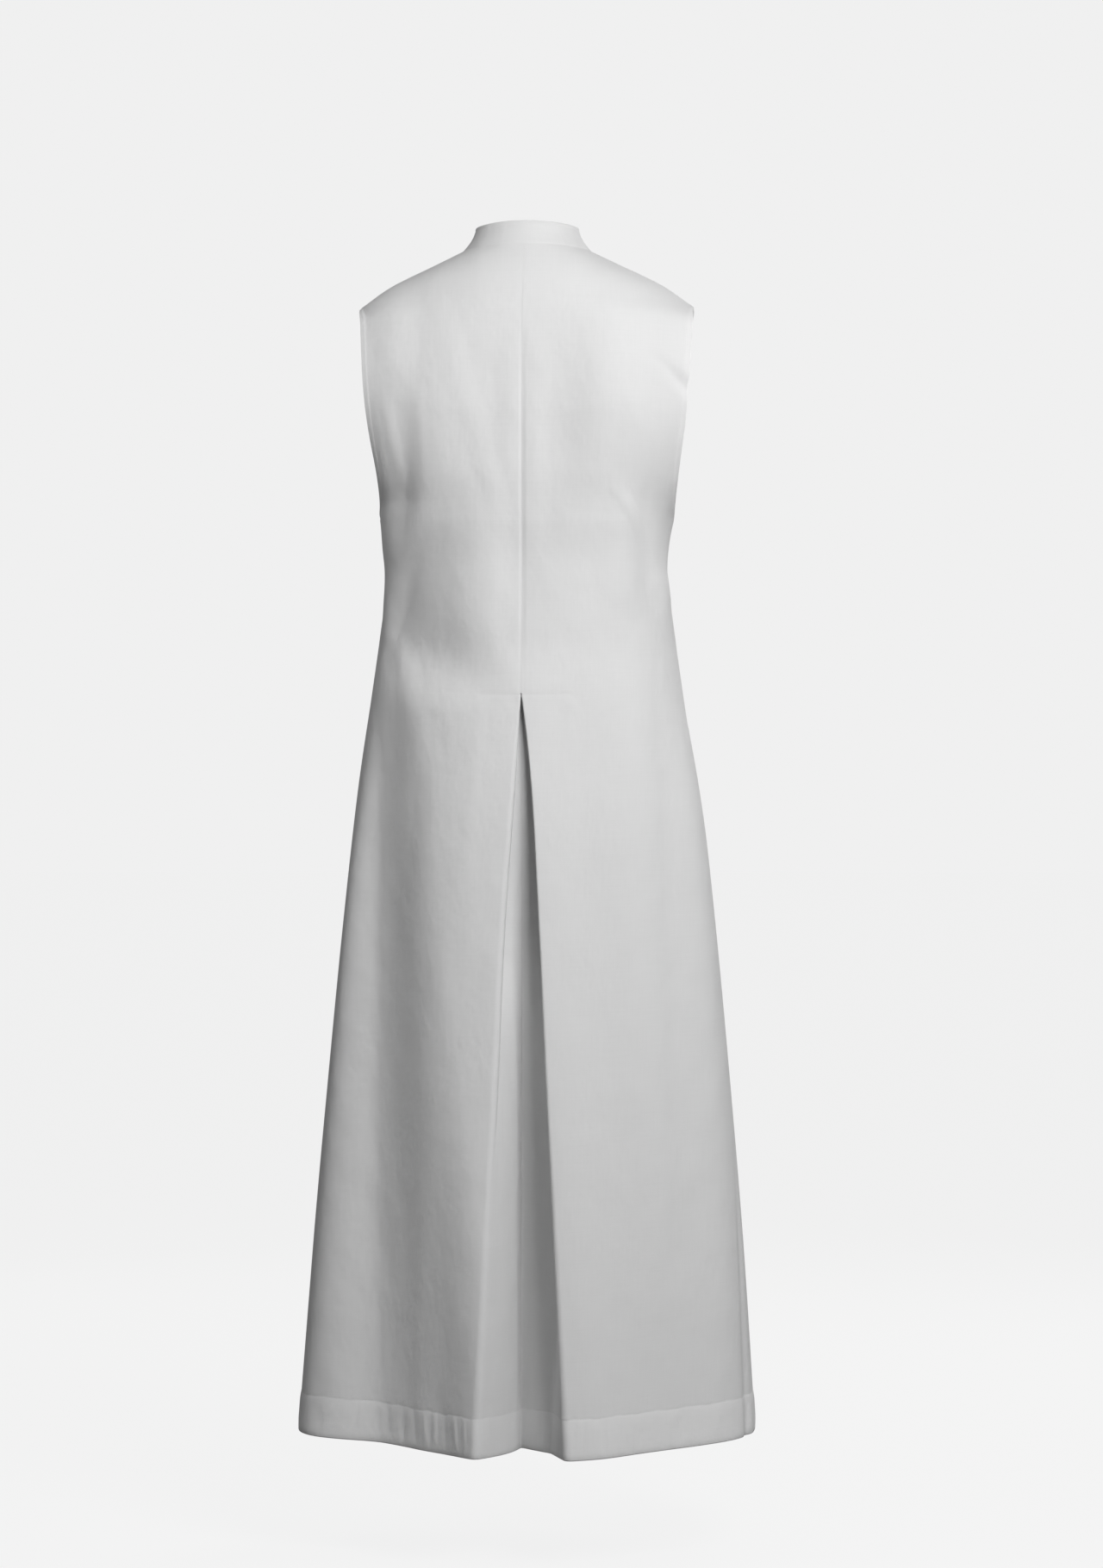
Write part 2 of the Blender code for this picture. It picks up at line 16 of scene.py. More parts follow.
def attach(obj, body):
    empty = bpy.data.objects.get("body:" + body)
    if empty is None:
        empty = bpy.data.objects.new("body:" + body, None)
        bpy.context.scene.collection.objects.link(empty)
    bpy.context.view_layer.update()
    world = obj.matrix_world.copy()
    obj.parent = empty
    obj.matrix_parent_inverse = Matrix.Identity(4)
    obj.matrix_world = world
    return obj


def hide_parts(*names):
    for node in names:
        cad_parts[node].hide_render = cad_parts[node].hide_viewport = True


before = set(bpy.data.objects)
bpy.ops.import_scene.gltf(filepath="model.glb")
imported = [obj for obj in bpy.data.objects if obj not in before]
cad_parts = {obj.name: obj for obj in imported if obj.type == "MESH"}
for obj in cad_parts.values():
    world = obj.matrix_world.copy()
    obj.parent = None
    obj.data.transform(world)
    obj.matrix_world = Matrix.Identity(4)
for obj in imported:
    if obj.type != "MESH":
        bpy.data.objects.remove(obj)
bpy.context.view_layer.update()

# The four panels: the two halves of the back and the two of the front
PANELS = ("back_left", "back_right", "front_left", "front_right")

# The cloth, and the lap of the left front over the right one, with its edge turned in this far
CLOTH = 0.0009
SEAM_GAP = 0.0001
FRONT_LAP = 0.015
LAP_DROP = 0.0028
LAP_BLEND = 0.060
FRONT_TURN = (0.018, 0.020)

# The hem: its turn-up, its rounded edge, and the waver of the turned-up edge, whose waves have a
# share of its height, a number of radians for each metre and a start
HEM_TURN_UP = 0.043
HEM_ROLL = 0.0010
HEM_ROLL_STEPS = 4
HEM_SWELL = 0.0005
HEM_SWELL_WIDE = 0.006
HEM_WAVER = 0.0006
HEM_WAVES = ((1.0, 137.0, 1.3), (0.6, 363.0, 0.0))
HEM_EDGE_BLUR = 0.001

# The grooves that stitching and seams draw in the cloth
STITCH_DIP = 0.0004
STITCH_DIP_WIDE = 0.0017
HEM_DIP = 0.00018
HEM_EDGE_DIP = 0.00016
HEM_EDGE_STITCH = 0.0080
EDGE_STITCH = 0.0060
SEAM_DIP = 0.0005
SEAM_DIP_WIDE = 0.0028
MIDDLE_SEAM_DIP = 0.0009
MIDDLE_SEAM_WIDE = {"back_left": 0.0040, "back_right": 0.0058}
MIDDLE_SEAM_STARTS = (0.07, 0.20)
MIDDLE_SEAM_EASES = (0.40, 0.50)
MIDDLE_SEAM_EASED = 0.7
STAY_STITCH = {"back_left": 0.047, "back_right": 0.058}
STAY_DIP = 0.0002
STAY_DIP_WIDE = 0.0040
STAY_END = 0.002

# The armholes: the turned-in edge and its stitching, which fade over so many rows at the underarm,
# the flare of the edge, and how far from the seams the fronts are eased in to the backs
ARMHOLE_TURN = 0.0080
ARMHOLE_TURN_BLUR = 0.0006
ARMHOLE_TURN_ENDS = 0.4
ARMHOLE_STITCH = 0.0068
ARMHOLE_STITCH_ENDS = 0.3
ARMHOLE_FLARE = {"back_left": 0.0060, "back_right": 0.0035, "front_left": 0.0020, "front_right": 0.0020}
ARMHOLE_FLARE_WIDE = 0.035
LEFT_ARMHOLE_IN = 0.007
SEAM_EASE = 0.040

# The level sections of the form. They are those of the solids but for the three round the
# underarm, which make a softer turn from the armhole to the side.
Section = namedtuple(
    "Section",
    "name edge_x edge_z back_x back_y back_z back_flat front_x front_y front_z front_inset front_flat",
)
SECTIONS = [Section._make(row) for row in [
    ("neck seam", 0.075, -0.004, 0.075, 0.062, 0.0, 2.0, 0.075, 0.07, -0.052, 0.0, 2.0),
    ("yoke", 0.1085, -0.02, 0.1085, 0.071, -0.018, 2.1, 0.1085, 0.079, -0.066, 0.0, 2.1),
    ("shoulder", 0.1575, -0.044, 0.1575, 0.081, -0.038, 2.2, 0.1575, 0.088, -0.084, 0.0, 2.2),
    ("shoulder tip", 0.1925, -0.068, 0.1925, 0.091, -0.062, 2.3, 0.1925, 0.097, -0.105, 0.0, 2.3),
    ("upper armhole", 0.191, -0.092, 0.23, 0.1, -0.087, 2.4, 0.198, 0.104, -0.124, 0.005, 2.4),
    ("blades", 0.188, -0.15, 0.25, 0.114, -0.145, 2.4, 0.2035, 0.117, -0.165, 0.012, 2.4),
    ("below blades", 0.184, -0.205, 0.235, 0.119, -0.2, 2.4, 0.2, 0.126, -0.21, 0.014, 2.4),
    ("lower armhole", 0.177, -0.26, 0.203, 0.119, -0.257, 2.4, 0.188, 0.129, -0.262, 0.01, 2.4),
    ("armhole turn", 0.1715, -0.299, 0.1768, 0.1165, -0.298, 2.4, 0.1738, 0.128, -0.302, 0.004, 2.4),
    ("underarm", 0.1695, -0.315, 0.1695, 0.115, -0.318, 2.4, 0.1695, 0.1258, -0.32, 0.0, 2.4),
    ("waist", 0.162, -0.37, 0.162, 0.11, -0.372, 2.3, 0.162, 0.119, -0.374, 0.0, 2.3),
    ("high hip", 0.171, -0.45, 0.171, 0.113, -0.452, 2.2, 0.171, 0.118, -0.453, 0.0, 2.2),
    ("pleat top", 0.18, -0.515, 0.18, 0.124, -0.518, 2.2, 0.18, 0.123, -0.517, 0.0, 2.2),
    ("seat", 0.1955, -0.62, 0.1955, 0.14, -0.624, 2.2, 0.1955, 0.133, -0.622, 0.0, 2.2),
    ("thigh", 0.2135, -0.78, 0.2135, 0.158, -0.787, 2.1, 0.2135, 0.151, -0.783, 0.0, 2.1),
    ("knee", 0.23, -0.95, 0.23, 0.178, -0.96, 2.1, 0.23, 0.17, -0.955, 0.0, 2.1),
    ("calf", 0.248, -1.15, 0.248, 0.205, -1.163, 2.0, 0.248, 0.192, -1.156, 0.0, 2.0),
    ("hem", 0.263, -1.355, 0.263, 0.235, -1.371, 2.0, 0.263, 0.215, -1.362, 0.0, 2.0),
]]
NAMES = [section.name for section in SECTIONS]
TIP = NAMES.index("shoulder tip")
TURN = NAMES.index("armhole turn")
UNDERARM = NAMES.index("underarm")
PLEAT_TOP = NAMES.index("pleat top")
HEM = len(SECTIONS) - 1
HEM_DROP = SECTIONS[HEM - 1].edge_z - SECTIONS[HEM].edge_z

# The inverted box pleat, a row for each section from its top down. Its edges lie up to 6 mm from
# those of the solids and are rounder.
Pleat = namedtuple(
    "Pleat", "left_edge right_edge left_radius right_radius return_angle return_length crease_depth"
)
PLEATS = [
    (0.0, 0.0, 0.0012, 0.0012, 9.0, 0.047, 0.0095),
    (0.006, 0.0125, 0.005, 0.0015, 15.0, 0.042, 0.022),
    (0.0168, 0.0223, 0.006, 0.002, 28.0, 0.04, 0.045),
    (0.0235, 0.0312, 0.007, 0.003, 50.0, 0.0425, 0.068),
    (0.0325, 0.0425, 0.008, 0.005, 78.0, 0.0455, 0.09),
    (0.045, 0.0535, 0.008, 0.008, 108.0, 0.052, 0.105),
]
INNER_FOLD_RADII = [0.0014, 0.0016, 0.0020, 0.0030, 0.0100, 0.0300]
INNER_FOLD_MOST = 0.40
PRESSED_RADII = [0.0004, 0.0005, 0.0008, 0.0022, 0.0035, 0.0035]
# Towards the hem the left return runs out, turns outwards and bows, over these rows
RUN_OUT = (1.6, 3.0)
RUN_OUT_MOST = 0.99
TURNED_OUT = (2.7, 3.8)
OPEN_ANGLE = 132.0
BOWED = (2.2, 3.6)
BOW_REACH = 0.45
ARRIVING = (0.004, 0.030)
SOFTENINGS = 8

# Folds and creases, listed one by one, the large ones the same as the solids have. Each runs down
# the cloth from the height top to the height low, at a distance along the cloth from the middle
# of its half that goes from at_top to at_low, with a bow between. Widths are half widths, a
# negative height is a trough, and the fades are the lengths over which it comes and goes.
Crease = namedtuple(
    "Crease",
    "name top low at_top at_low bow wide_top wide_low high_top high_low fade_top fade_low",
)
CREASES = {
    "back_left": [
        ("flank trough", -0.42, -1.4, 0.158, 0.163, 0.017, 0.038, 0.176, -0.001, -0.042, 0.2, 0.0),
        ("fold edge panel", -0.55, -1.4, 0.059, 0.088, 0.009, 0.033, 0.053, 0.003, -0.005, 0.2, 0.0),
        ("side ridge", -0.5, -1.4, 0.205, 0.273, 0.004, 0.019, 0.081, 0.004, 0.027, 0.25, 0.0),
        ("waist hollow", -0.29, -0.54, 0.17, 0.069, 0.031, 0.086, 0.124, 0.005, -0.02, 0.08, 0.08),
        ("lit ridge", -0.43, -0.74, 0.186, 0.143, -0.04, 0.028, 0.032, 0.004, -0.005, 0.06, 0.18),
        ("blade hollow", -0.13, -0.4, 0.16, 0.166, -0.014, 0.036, 0.035, -0.005, -0.005, 0.1, 0.12),
        ("middle hollow", -0.1, -0.46, 0.038, 0.056, 0.001, 0.067, 0.066, -0.006, 0.002, 0.08, 0.14),
        ("blade swell", -0.03, -0.3, 0.174, 0.169, -0.009, 0.057, 0.022, 0.005, 0.004, 0.06, 0.12),
        ("side swell", -0.28, -0.5, 0.165, 0.201, 0.0, 0.082, 0.013, 0.01, 0.008, 0.08, 0.1),
        ("fold shadow", -0.52, -0.8, 0.046, 0.06, 0.003, 0.012, 0.016, 0.0006, 0.0002, 0.01, 0.16),
        ("waist swell", -0.24, -0.5, 0.045, 0.05, 0.0, 0.052, 0.055, 0.0045, 0.0045, 0.12, 0.13),
        ("blade pull", -0.17, -0.3, 0.165, 0.151, -0.001, 0.012, 0.013, 0.0012, 0.001, 0.04, 0.05),
        ("long pull", -0.07, -0.37, 0.098, 0.006, 0.0, 0.024, 0.022, 0.0012, 0.0012, 0.06, 0.1),
    ],
    "back_right": [
        ("flank plane", -0.42, -1.4, 0.066, 0.155, -0.01, 0.08, 0.067, -0.009, -0.007, 0.2, 0.0),
        ("side ridge", -0.45, -1.4, 0.202, 0.285, 0.008, 0.044, 0.102, 0.01, 0.02, 0.25, 0.0),
        ("middle hollow", -0.07, -0.4, 0.056, 0.037, -0.006, 0.047, 0.062, -0.001, -0.008, 0.08, 0.14),
        ("waist fold", -0.26, -0.44, 0.123, 0.125, -0.007, 0.033, 0.045, 0.003, 0.007, 0.07, 0.07),
        ("waist hollow", -0.24, -0.46, 0.14, 0.203, 0.002, 0.052, 0.03, -0.003, 0.011, 0.08, 0.08),
        ("arm crease", -0.12, -0.19, 0.138, 0.206, 0.004, 0.016, 0.02, -0.002, -0.006, 0.03, 0.03),
        ("blade swell", -0.03, -0.3, 0.11, 0.123, -0.002, 0.083, 0.077, 0.007, 0.009, 0.06, 0.12),
        ("fold shadow", -0.52, -0.84, 0.057, 0.048, 0.0, 0.013, 0.016, 0.0005, 0.0002, 0.01, 0.16),
        ("side fold", -0.92, -1.4, 0.276, 0.292, 0.0, 0.008, 0.013, -0.001, -0.0045, 0.2, 0.0),
        ("waist pull", -0.27, -0.42, 0.1, 0.194, 0.004, 0.015, 0.018, 0.002, 0.0016, 0.04, 0.05),
    ],
    "front_left": [
        ("flank trough", -0.42, -1.4, 0.15, 0.165, 0.012, 0.045, 0.11, -0.001, -0.026, 0.2, 0.0),
        ("side ridge", -0.5, -1.4, 0.205, 0.285, 0.003, 0.03, 0.08, 0.004, 0.02, 0.25, 0.0),
        ("knee ridge", -0.6, -1.4, 0.09, 0.105, 0.0, 0.04, 0.055, 0.002, 0.01, 0.3, 0.0),
        ("chest swell", -0.1, -0.36, 0.13, 0.11, 0.0, 0.06, 0.06, 0.004, 0.002, 0.08, 0.1),
        ("waist hollow", -0.28, -0.52, 0.13, 0.105, 0.0, 0.05, 0.05, -0.003, -0.008, 0.08, 0.12),
        ("drag fold", -0.26, -0.44, 0.175, 0.09, 0.006, 0.022, 0.026, 0.003, 0.003, 0.05, 0.08),
    ],
    "front_right": [
        ("flank trough", -0.42, -1.4, 0.14, 0.175, 0.01, 0.045, 0.1, -0.001, -0.02, 0.2, 0.0),
        ("side ridge", -0.5, -1.4, 0.2, 0.28, 0.003, 0.03, 0.085, 0.004, 0.018, 0.25, 0.0),
        ("knee ridge", -0.66, -1.4, 0.105, 0.125, 0.0, 0.045, 0.055, 0.002, 0.008, 0.3, 0.0),
        ("chest swell", -0.1, -0.36, 0.125, 0.11, 0.0, 0.06, 0.06, 0.004, 0.002, 0.08, 0.1),
        ("waist hollow", -0.28, -0.52, 0.12, 0.098, 0.0, 0.05, 0.05, -0.003, -0.007, 0.08, 0.12),
        ("drag fold", -0.27, -0.46, 0.168, 0.1, 0.004, 0.022, 0.028, 0.003, 0.002, 0.05, 0.08),
    ],
}
# The hollow along the spine, which the centre back seam lies in
SPINE_TOP = -0.06
SPINE_LOW = -0.51
SPINE_FADE = (0.12, 0.16)
SPINE_WIDE = 0.095
SPINE_DEEP = 0.0055
# The swell of the yoke, which starts at the collar seam, is highest at one height and fades below
YOKE_SWELL = 0.0050
YOKE_HIGHEST = 0.045
YOKE_LOW = 0.150
YOKE_ACROSS = (0.020, 0.130)

# Small puckers that the hem's stitching draws up: the distance along the cloth from the middle
# of a half, the half width, the height, and how far they lean for each metre that they rise. They
# come and go over these heights above the hem and past its stitching.
PUCKERS = {
    "back_left": [
        (0.062, 0.004, 0.0006, 0.03), (0.077, 0.005, 0.001, 0.09), (0.091, 0.004, -0.0006, 0.03),
        (0.106, 0.005, 0.0011, -0.06), (0.124, 0.005, 0.001, 0.07), (0.141, 0.005, -0.0011, 0.1),
        (0.159, 0.006, -0.0012, -0.04), (0.187, 0.007, -0.0013, 0.06), (0.215, 0.006, 0.0008, -0.09),
        (0.262, 0.008, -0.0009, 0.04), (0.309, 0.007, 0.0007, -0.03),
    ],
    "back_right": [
        (0.072, 0.006, 0.0004, 0.06), (0.098, 0.005, -0.0005, -0.07), (0.142, 0.007, 0.0005, 0.03),
        (0.196, 0.007, -0.0006, -0.06), (0.243, 0.006, 0.0006, 0.04), (0.297, 0.008, -0.0009, 0.06),
        (0.331, 0.006, 0.0008, -0.03),
    ],
    "front_left": [
        (0.041, 0.005, -0.0005, 0.04), (0.083, 0.006, 0.0007, -0.06), (0.112, 0.005, -0.0009, 0.07),
        (0.15, 0.006, -0.0011, -0.03), (0.171, 0.004, 0.0008, 0.09), (0.236, 0.007, -0.0008, 0.03),
        (0.292, 0.006, 0.0007, 0.06),
    ],
    "front_right": [
        (0.052, 0.006, 0.0005, -0.04), (0.095, 0.005, -0.0007, 0.06), (0.134, 0.006, -0.001, -0.07),
        (0.163, 0.005, 0.0008, 0.03), (0.214, 0.007, -0.0008, 0.09), (0.285, 0.006, 0.0007, 0.04),
    ],
}
PUCKER_STARTS = (0.002, 0.016)
PUCKER_ENDS = (-0.012, 0.006)

# Creases die away towards the seams: within these distances of the middle, down to the depths
# where the pleat sets the cloth free, and of the shoulder and side seams. Then the rows over which
# the armhole opens and closes, its flare fades, and its edge holds the creases again.
PINNED_AT_MIDDLE = 0.035
PINNED_AT_SEAM = 0.025
PINNED_AT_FRONT = (0.020, 0.070)
PINNED_ABOVE = 0.50
FREE_BELOW = 0.60
ARMHOLE_OPENS = (TIP, TIP + 1)
ARMHOLE_CLOSES = (UNDERARM - 2, UNDERARM)
FLARE_FADES = (TIP + 2, TIP + 4)
HELD_AGAIN = (TURN - 1.6, TURN + 1)

# How finely the sheets are woven into facets, and the places that need rows of their own, in
# half widths of a stitch's groove at the hem and in sections elsewhere
ROW_STEP = 0.0050
PANEL_COLUMNS = 128
FRONT_COLUMNS = 120
END_CLOSENESS = 0.6
ARC_STEPS = 8
RETURN_STEPS = 10
UNDERLAY_STEPS = 16
UNDERLAY_CLOSENESS = 1.5
GIRTH_STEPS = 80
TURN_STEP = 0.004
EDGE_TURN_STEP = 0.01
HEM_STITCH_ROWS = (-1.5, -1.0, -0.5, 0.0, 0.5, 1.0, 1.5)
UNDERARM_ROWS = (-0.16, -0.09, -0.04, -0.01)
PLEAT_TOP_ROWS = (-0.036, -0.024, -0.012, 0.0, 0.008, 0.016, 0.024)
CLOSEST_ROWS = 0.008
PATTERN_COLUMN = 20
SHARP_EDGE = math.radians(60.0)


def eased(values, at):
    """Values at fractional indices of a list, on a smooth curve that doesn't overshoot."""
    values = np.asarray(values, float)
    at = np.asarray(at, float)
    steps = np.diff(values)
    before = np.concatenate([steps[:1], steps])
    after = np.concatenate([steps, steps[-1:]])
    same = before * after > 0.0
    slopes = np.where(same, 2.0 * before * after / np.where(same, before + after, 1.0), 0.0)
    low = np.clip(at.astype(int), 0, len(values) - 2)
    part = at - low
    rise = steps[low] * (3.0 * part**2 - 2.0 * part**3)
    start = slopes[low] * (part - 2.0 * part**2 + part**3)
    end = slopes[low + 1] * (part**3 - part**2)
    return values[low] + rise + start + end


def ramp(value, start, end):
    """0 before start, 1 after end, and a smooth step between."""
    share = np.clip((value - start) / (end - start), 0.0, 1.0)
    return share * share * (3.0 - 2.0 * share)


def between(start, end, share):
    """The value this share of the way from start to end."""
    return start + (end - start) * share


def groove(away, wide):
    """A soft groove or swell: 1 at its middle and 0 from this far away."""
    return np.clip(1.0 - (away / wide) ** 2, 0.0, None) ** 2


def unit(vectors):
    """Vectors made 1 long, but for those that have no length."""
    size = np.linalg.norm(vectors, axis=-1, keepdims=True)
    return vectors / np.where(size > 0.0, size, 1.0)


def run_along(line):
    """How far each point of a line lies from its start, along the line."""
    return np.concatenate([[0.0], np.cumsum(np.linalg.norm(np.diff(line, axis=0), axis=1))])


def at_run(wanted, run, values):
    """Points or directions at wanted distances, from those at the distances of a run."""
    return np.stack([np.interp(wanted, run, values[:, axis]) for axis in range(3)], axis=-1)


def section_at(row):
    """The section at a fractional row of the table, or at an array of them."""
    columns = zip(*[section[1:] for section in SECTIONS])
    return Section("between", *[eased(column, row) for column in columns])


def half_of(piece):
    """Whether a panel is a back one, and 1 for the wearer's left or -1 for the right."""
    return piece.startswith("back"), 1.0 if piece.endswith("left") else -1.0


def side_at(piece, row):
    """A panel's own measures at a row: edge, width, reach, the middle's height and squareness."""
    is_back, _ = half_of(piece)
    section = section_at(row)
    if is_back:
        return section.edge_x, section.back_x, section.back_y, section.back_z, section.back_flat
    edge = section.edge_x - section.front_inset
    return edge, section.front_x, section.front_y, section.front_z, section.front_flat


def plain_form(piece, row, turn):
    """The unfolded form: points at even turns, 0 the middle and 1 the outer edge."""
    edge, width, reach, middle_z, flat = side_at(piece, row)
    stop = np.minimum(1.0, edge / width)
    share = np.sin(turn * np.arcsin(stop))
    depth = reach * np.sqrt(np.maximum(0.0, 1.0 - np.abs(share) ** flat))
    height = between(middle_z, section_at(row).edge_z, (share / stop) ** 2)
    return np.stack([width * share, depth, height], axis=-1)


def turn_at(piece, row, x):
    """The turn at which the unfolded form lies this far from the middle plane."""
    edge, width, _, _, _ = side_at(piece, row)
    return math.asin(x / float(width)) / math.asin(min(1.0, float(edge / width)))


def arc_lengths(piece, row, turn):
    """Distances along the cloth from the middle of a half at turns on one row, and its girth."""
    even = np.linspace(0.0, 1.0, GIRTH_STEPS)
    run = run_along(plain_form(piece, np.full(GIRTH_STEPS, row), even))
    return np.sign(turn) * np.interp(np.abs(turn), even, run), run[-1]


def pinning(piece, row, arc, girth, height):
    """How free the cloth is to fold: 0 at a seam that holds it and 1 away from one."""
    is_back, _ = half_of(piece)
    if is_back:
        pinned = 1.0 - ramp(-height, PINNED_ABOVE, FREE_BELOW)
        free = 1.0 - pinned * (1.0 - ramp(arc, 0.0, PINNED_AT_MIDDLE))
    else:
        free = ramp(arc, *PINNED_AT_FRONT)
    open_edge = ramp(row, *ARMHOLE_OPENS) * (1.0 - ramp(row, *HELD_AGAIN))
    at_edge = ramp(girth - arc, 0.0, PINNED_AT_SEAM)
    return free * (open_edge + (1.0 - open_edge) * at_edge)


def crease_lift(piece, row, arc, girth, height):
    """How far the creases of a panel lift its cloth along one row."""
    total = np.zeros_like(arc)
    for crease in map(Crease._make, CREASES[piece]):
        down = (crease.top - height) / (crease.top - crease.low)
        inside = (down > 0.0) & (down < 1.0)
        down = np.clip(down, 0.0, 1.0)
        centre = between(crease.at_top, crease.at_low, down) + crease.bow * 4.0 * down * (1.0 - down)
        wide = between(crease.wide_top, crease.wide_low, down)
        high = between(crease.high_top, crease.high_low, down)
        if crease.fade_top > 0.0:
            high = high * ramp(crease.top - height, 0.0, crease.fade_top)
        if crease.fade_low > 0.0:
            high = high * ramp(height - crease.low, 0.0, crease.fade_low)
        away = np.clip(np.abs(arc - centre) / wide, 0.0, 1.0)
        total += np.where(inside, high * (0.5 + 0.5 * np.cos(math.pi * away)), 0.0)
    return total * pinning(piece, row, arc, girth, height)


def past_hem_edge(row, arc):
    """How far a row lies above the hem's turned-up edge, which strays as hand-pressed hems do."""
    waver = sum(share * np.sin(arc * pace + start) for share, pace, start in HEM_WAVES)
    return (HEM - row) * HEM_DROP - HEM_TURN_UP + HEM_WAVER * waver


def hem_lift(piece, row, arc):
    """How far the hem's turn-up, its stitching and its puckers move the cloth of one row."""
    above = (HEM - row) * HEM_DROP
    past = past_hem_edge(row, arc)
    lift = HEM_SWELL * ramp(above, 0.0, HEM_SWELL_WIDE) * (1.0 - ramp(past, -HEM_SWELL_WIDE, 0.0))
    lift -= HEM_DIP * groove(past, STITCH_DIP_WIDE)
    lift -= HEM_EDGE_DIP * groove(above - HEM_EDGE_STITCH, STITCH_DIP_WIDE)
    beyond = above - HEM_TURN_UP
    drawn = ramp(above, *PUCKER_STARTS) * (1.0 - ramp(beyond, *PUCKER_ENDS))
    for at, wide, high, lean in PUCKERS[piece] if drawn > 0.0 else []:
        lift += high * drawn * groove(arc - at - lean * beyond, wide)
    return lift


def edge_lift(piece, row, from_edge):
    """How far the armhole's stitching and flare, or a seam, move the cloth near its outer edge."""
    if TIP < row < UNDERARM:
        ending = 1.0 - ramp(row, UNDERARM - ARMHOLE_STITCH_ENDS, UNDERARM)
        dip = STITCH_DIP * ending * groove(from_edge - ARMHOLE_STITCH, STITCH_DIP_WIDE)
        flare = ARMHOLE_FLARE[piece] * ramp(row, *ARMHOLE_OPENS) * (1.0 - ramp(row, *FLARE_FADES))
        return flare * np.clip(1.0 - from_edge / ARMHOLE_FLARE_WIDE, 0.0, 1.0) ** 2 - dip
    begun = 1.0 if row <= TIP else ramp(row, UNDERARM, UNDERARM + ARMHOLE_STITCH_ENDS)
    return -SEAM_DIP * begun * groove(from_edge, SEAM_DIP_WIDE)


def back_lift(piece, row, arc):
    """How far the yoke's swell, the spine's hollow, the middle seam and the stay-stitch move a back."""
    height = float(section_at(row).back_z)
    swell = YOKE_SWELL * math.sin(0.5 * math.pi * min(1.0, -height / YOKE_HIGHEST))
    swell *= 1.0 - ramp(-height, YOKE_HIGHEST, YOKE_LOW)
    lift = swell * (1.0 - ramp(arc, *YOKE_ACROSS))
    reach = 1.0 - ramp(arc, STAY_STITCH[piece], STAY_STITCH[piece] + STAY_END)
    lift -= STAY_DIP * groove(SECTIONS[PLEAT_TOP].back_z - height, STAY_DIP_WIDE) * reach
    if row < PLEAT_TOP:
        deep = SPINE_DEEP * ramp(SPINE_TOP - height, 0.0, SPINE_FADE[0])
        deep *= ramp(height - SPINE_LOW, 0.0, SPINE_FADE[1])
        lift -= deep * np.clip(1.0 - arc / SPINE_WIDE, 0.0, 1.0) ** 2
        pulled = MIDDLE_SEAM_DIP * ramp(-height, *MIDDLE_SEAM_STARTS)
        pulled *= 1.0 - MIDDLE_SEAM_EASED * ramp(-height, *MIDDLE_SEAM_EASES)
        lift -= pulled * groove(arc, MIDDLE_SEAM_WIDE[piece])
    return lift


def formed(piece, row, turn):
    """Points of a panel on one row with its folds, in its own half: x outwards, y out."""
    is_back, _ = half_of(piece)
    rows = np.full(len(turn), row)
    here = plain_form(piece, rows, turn)
    further = np.minimum(1.0, turn + TURN_STEP)
    ahead = plain_form(piece, rows, further)
    behind = plain_form(piece, rows, further - 2.0 * TURN_STEP)
    along = unit((ahead - behind)[:, :2])
    arc, girth = arc_lengths(piece, row, turn)
    lift = crease_lift(piece, row, arc, girth, here[:, 2])
    lift += hem_lift(piece, row, arc) + edge_lift(piece, row, girth - arc)
    if is_back:
        lift += back_lift(piece, row, arc)
    if piece == "front_left":
        lift -= STITCH_DIP * groove(arc + FRONT_LAP - EDGE_STITCH, STITCH_DIP_WIDE)
    if piece == "front_right":
        lift -= LAP_DROP * (1.0 - ramp(here[:, 0], FRONT_LAP, LAP_BLEND))
    here[:, 0] += -along[:, 1] * lift
    here[:, 1] += along[:, 0] * lift
    if piece == "back_left":
        drawn_in = ramp(row, *ARMHOLE_OPENS) * (1.0 - ramp(row, *ARMHOLE_CLOSES))
        here[:, 0] -= LEFT_ARMHOLE_IN * drawn_in * (arc / girth) ** 2
    if not is_back:
        section = section_at(row)
        over = min(section.edge_x, section.front_x) - min(section.edge_x, section.back_x)
        here[:, 0] -= max(0.0, over) * ramp(arc, girth - SEAM_EASE, girth)
    return here, arc


def heading(angle):
    """The unit vector at an angle, and the one to its left."""
    return np.array([math.cos(angle), math.sin(angle)]), np.array([-math.sin(angle), math.cos(angle)])


def arc_round(centre, radius, start, end):
    """Points round an arc from just past one heading to another, to the left if radius is below 0."""
    shares = [step / ARC_STEPS for step in range(1, ARC_STEPS + 1)]
    return [centre + radius * heading(between(start, end, share))[1] for share in shares]


def bowed_out(path, crease, opened):
    """A pleat's path, bent by this share into one soft bow from its edge to the crease."""
    start = path[ARC_STEPS - 1]
    run = run_along(path[ARC_STEPS - 1 :])[1:]
    share = (run / run[-1])[:, None]
    reach = BOW_REACH * float(np.linalg.norm(crease - start))
    leaving = start + reach * heading(-math.radians(OPEN_ANGLE))[0]
    arriving = crease + np.array(ARRIVING)
    curve = (1.0 - share) ** 3 * start + 3.0 * share * (1.0 - share) ** 2 * leaving
    curve += 3.0 * share**2 * (1.0 - share) * arriving + share**3 * crease
    path[ARC_STEPS:] += opened * (curve - path[ARC_STEPS:])
    softer = path.copy()
    for _ in range(SOFTENINGS):
        beside = softer[ARC_STEPS - 1 : -2] + softer[ARC_STEPS + 1 :]
        softer[ARC_STEPS:-1] = (beside + 2.0 * softer[ARC_STEPS:-1]) / 4.0
    return path + opened * (softer - path)


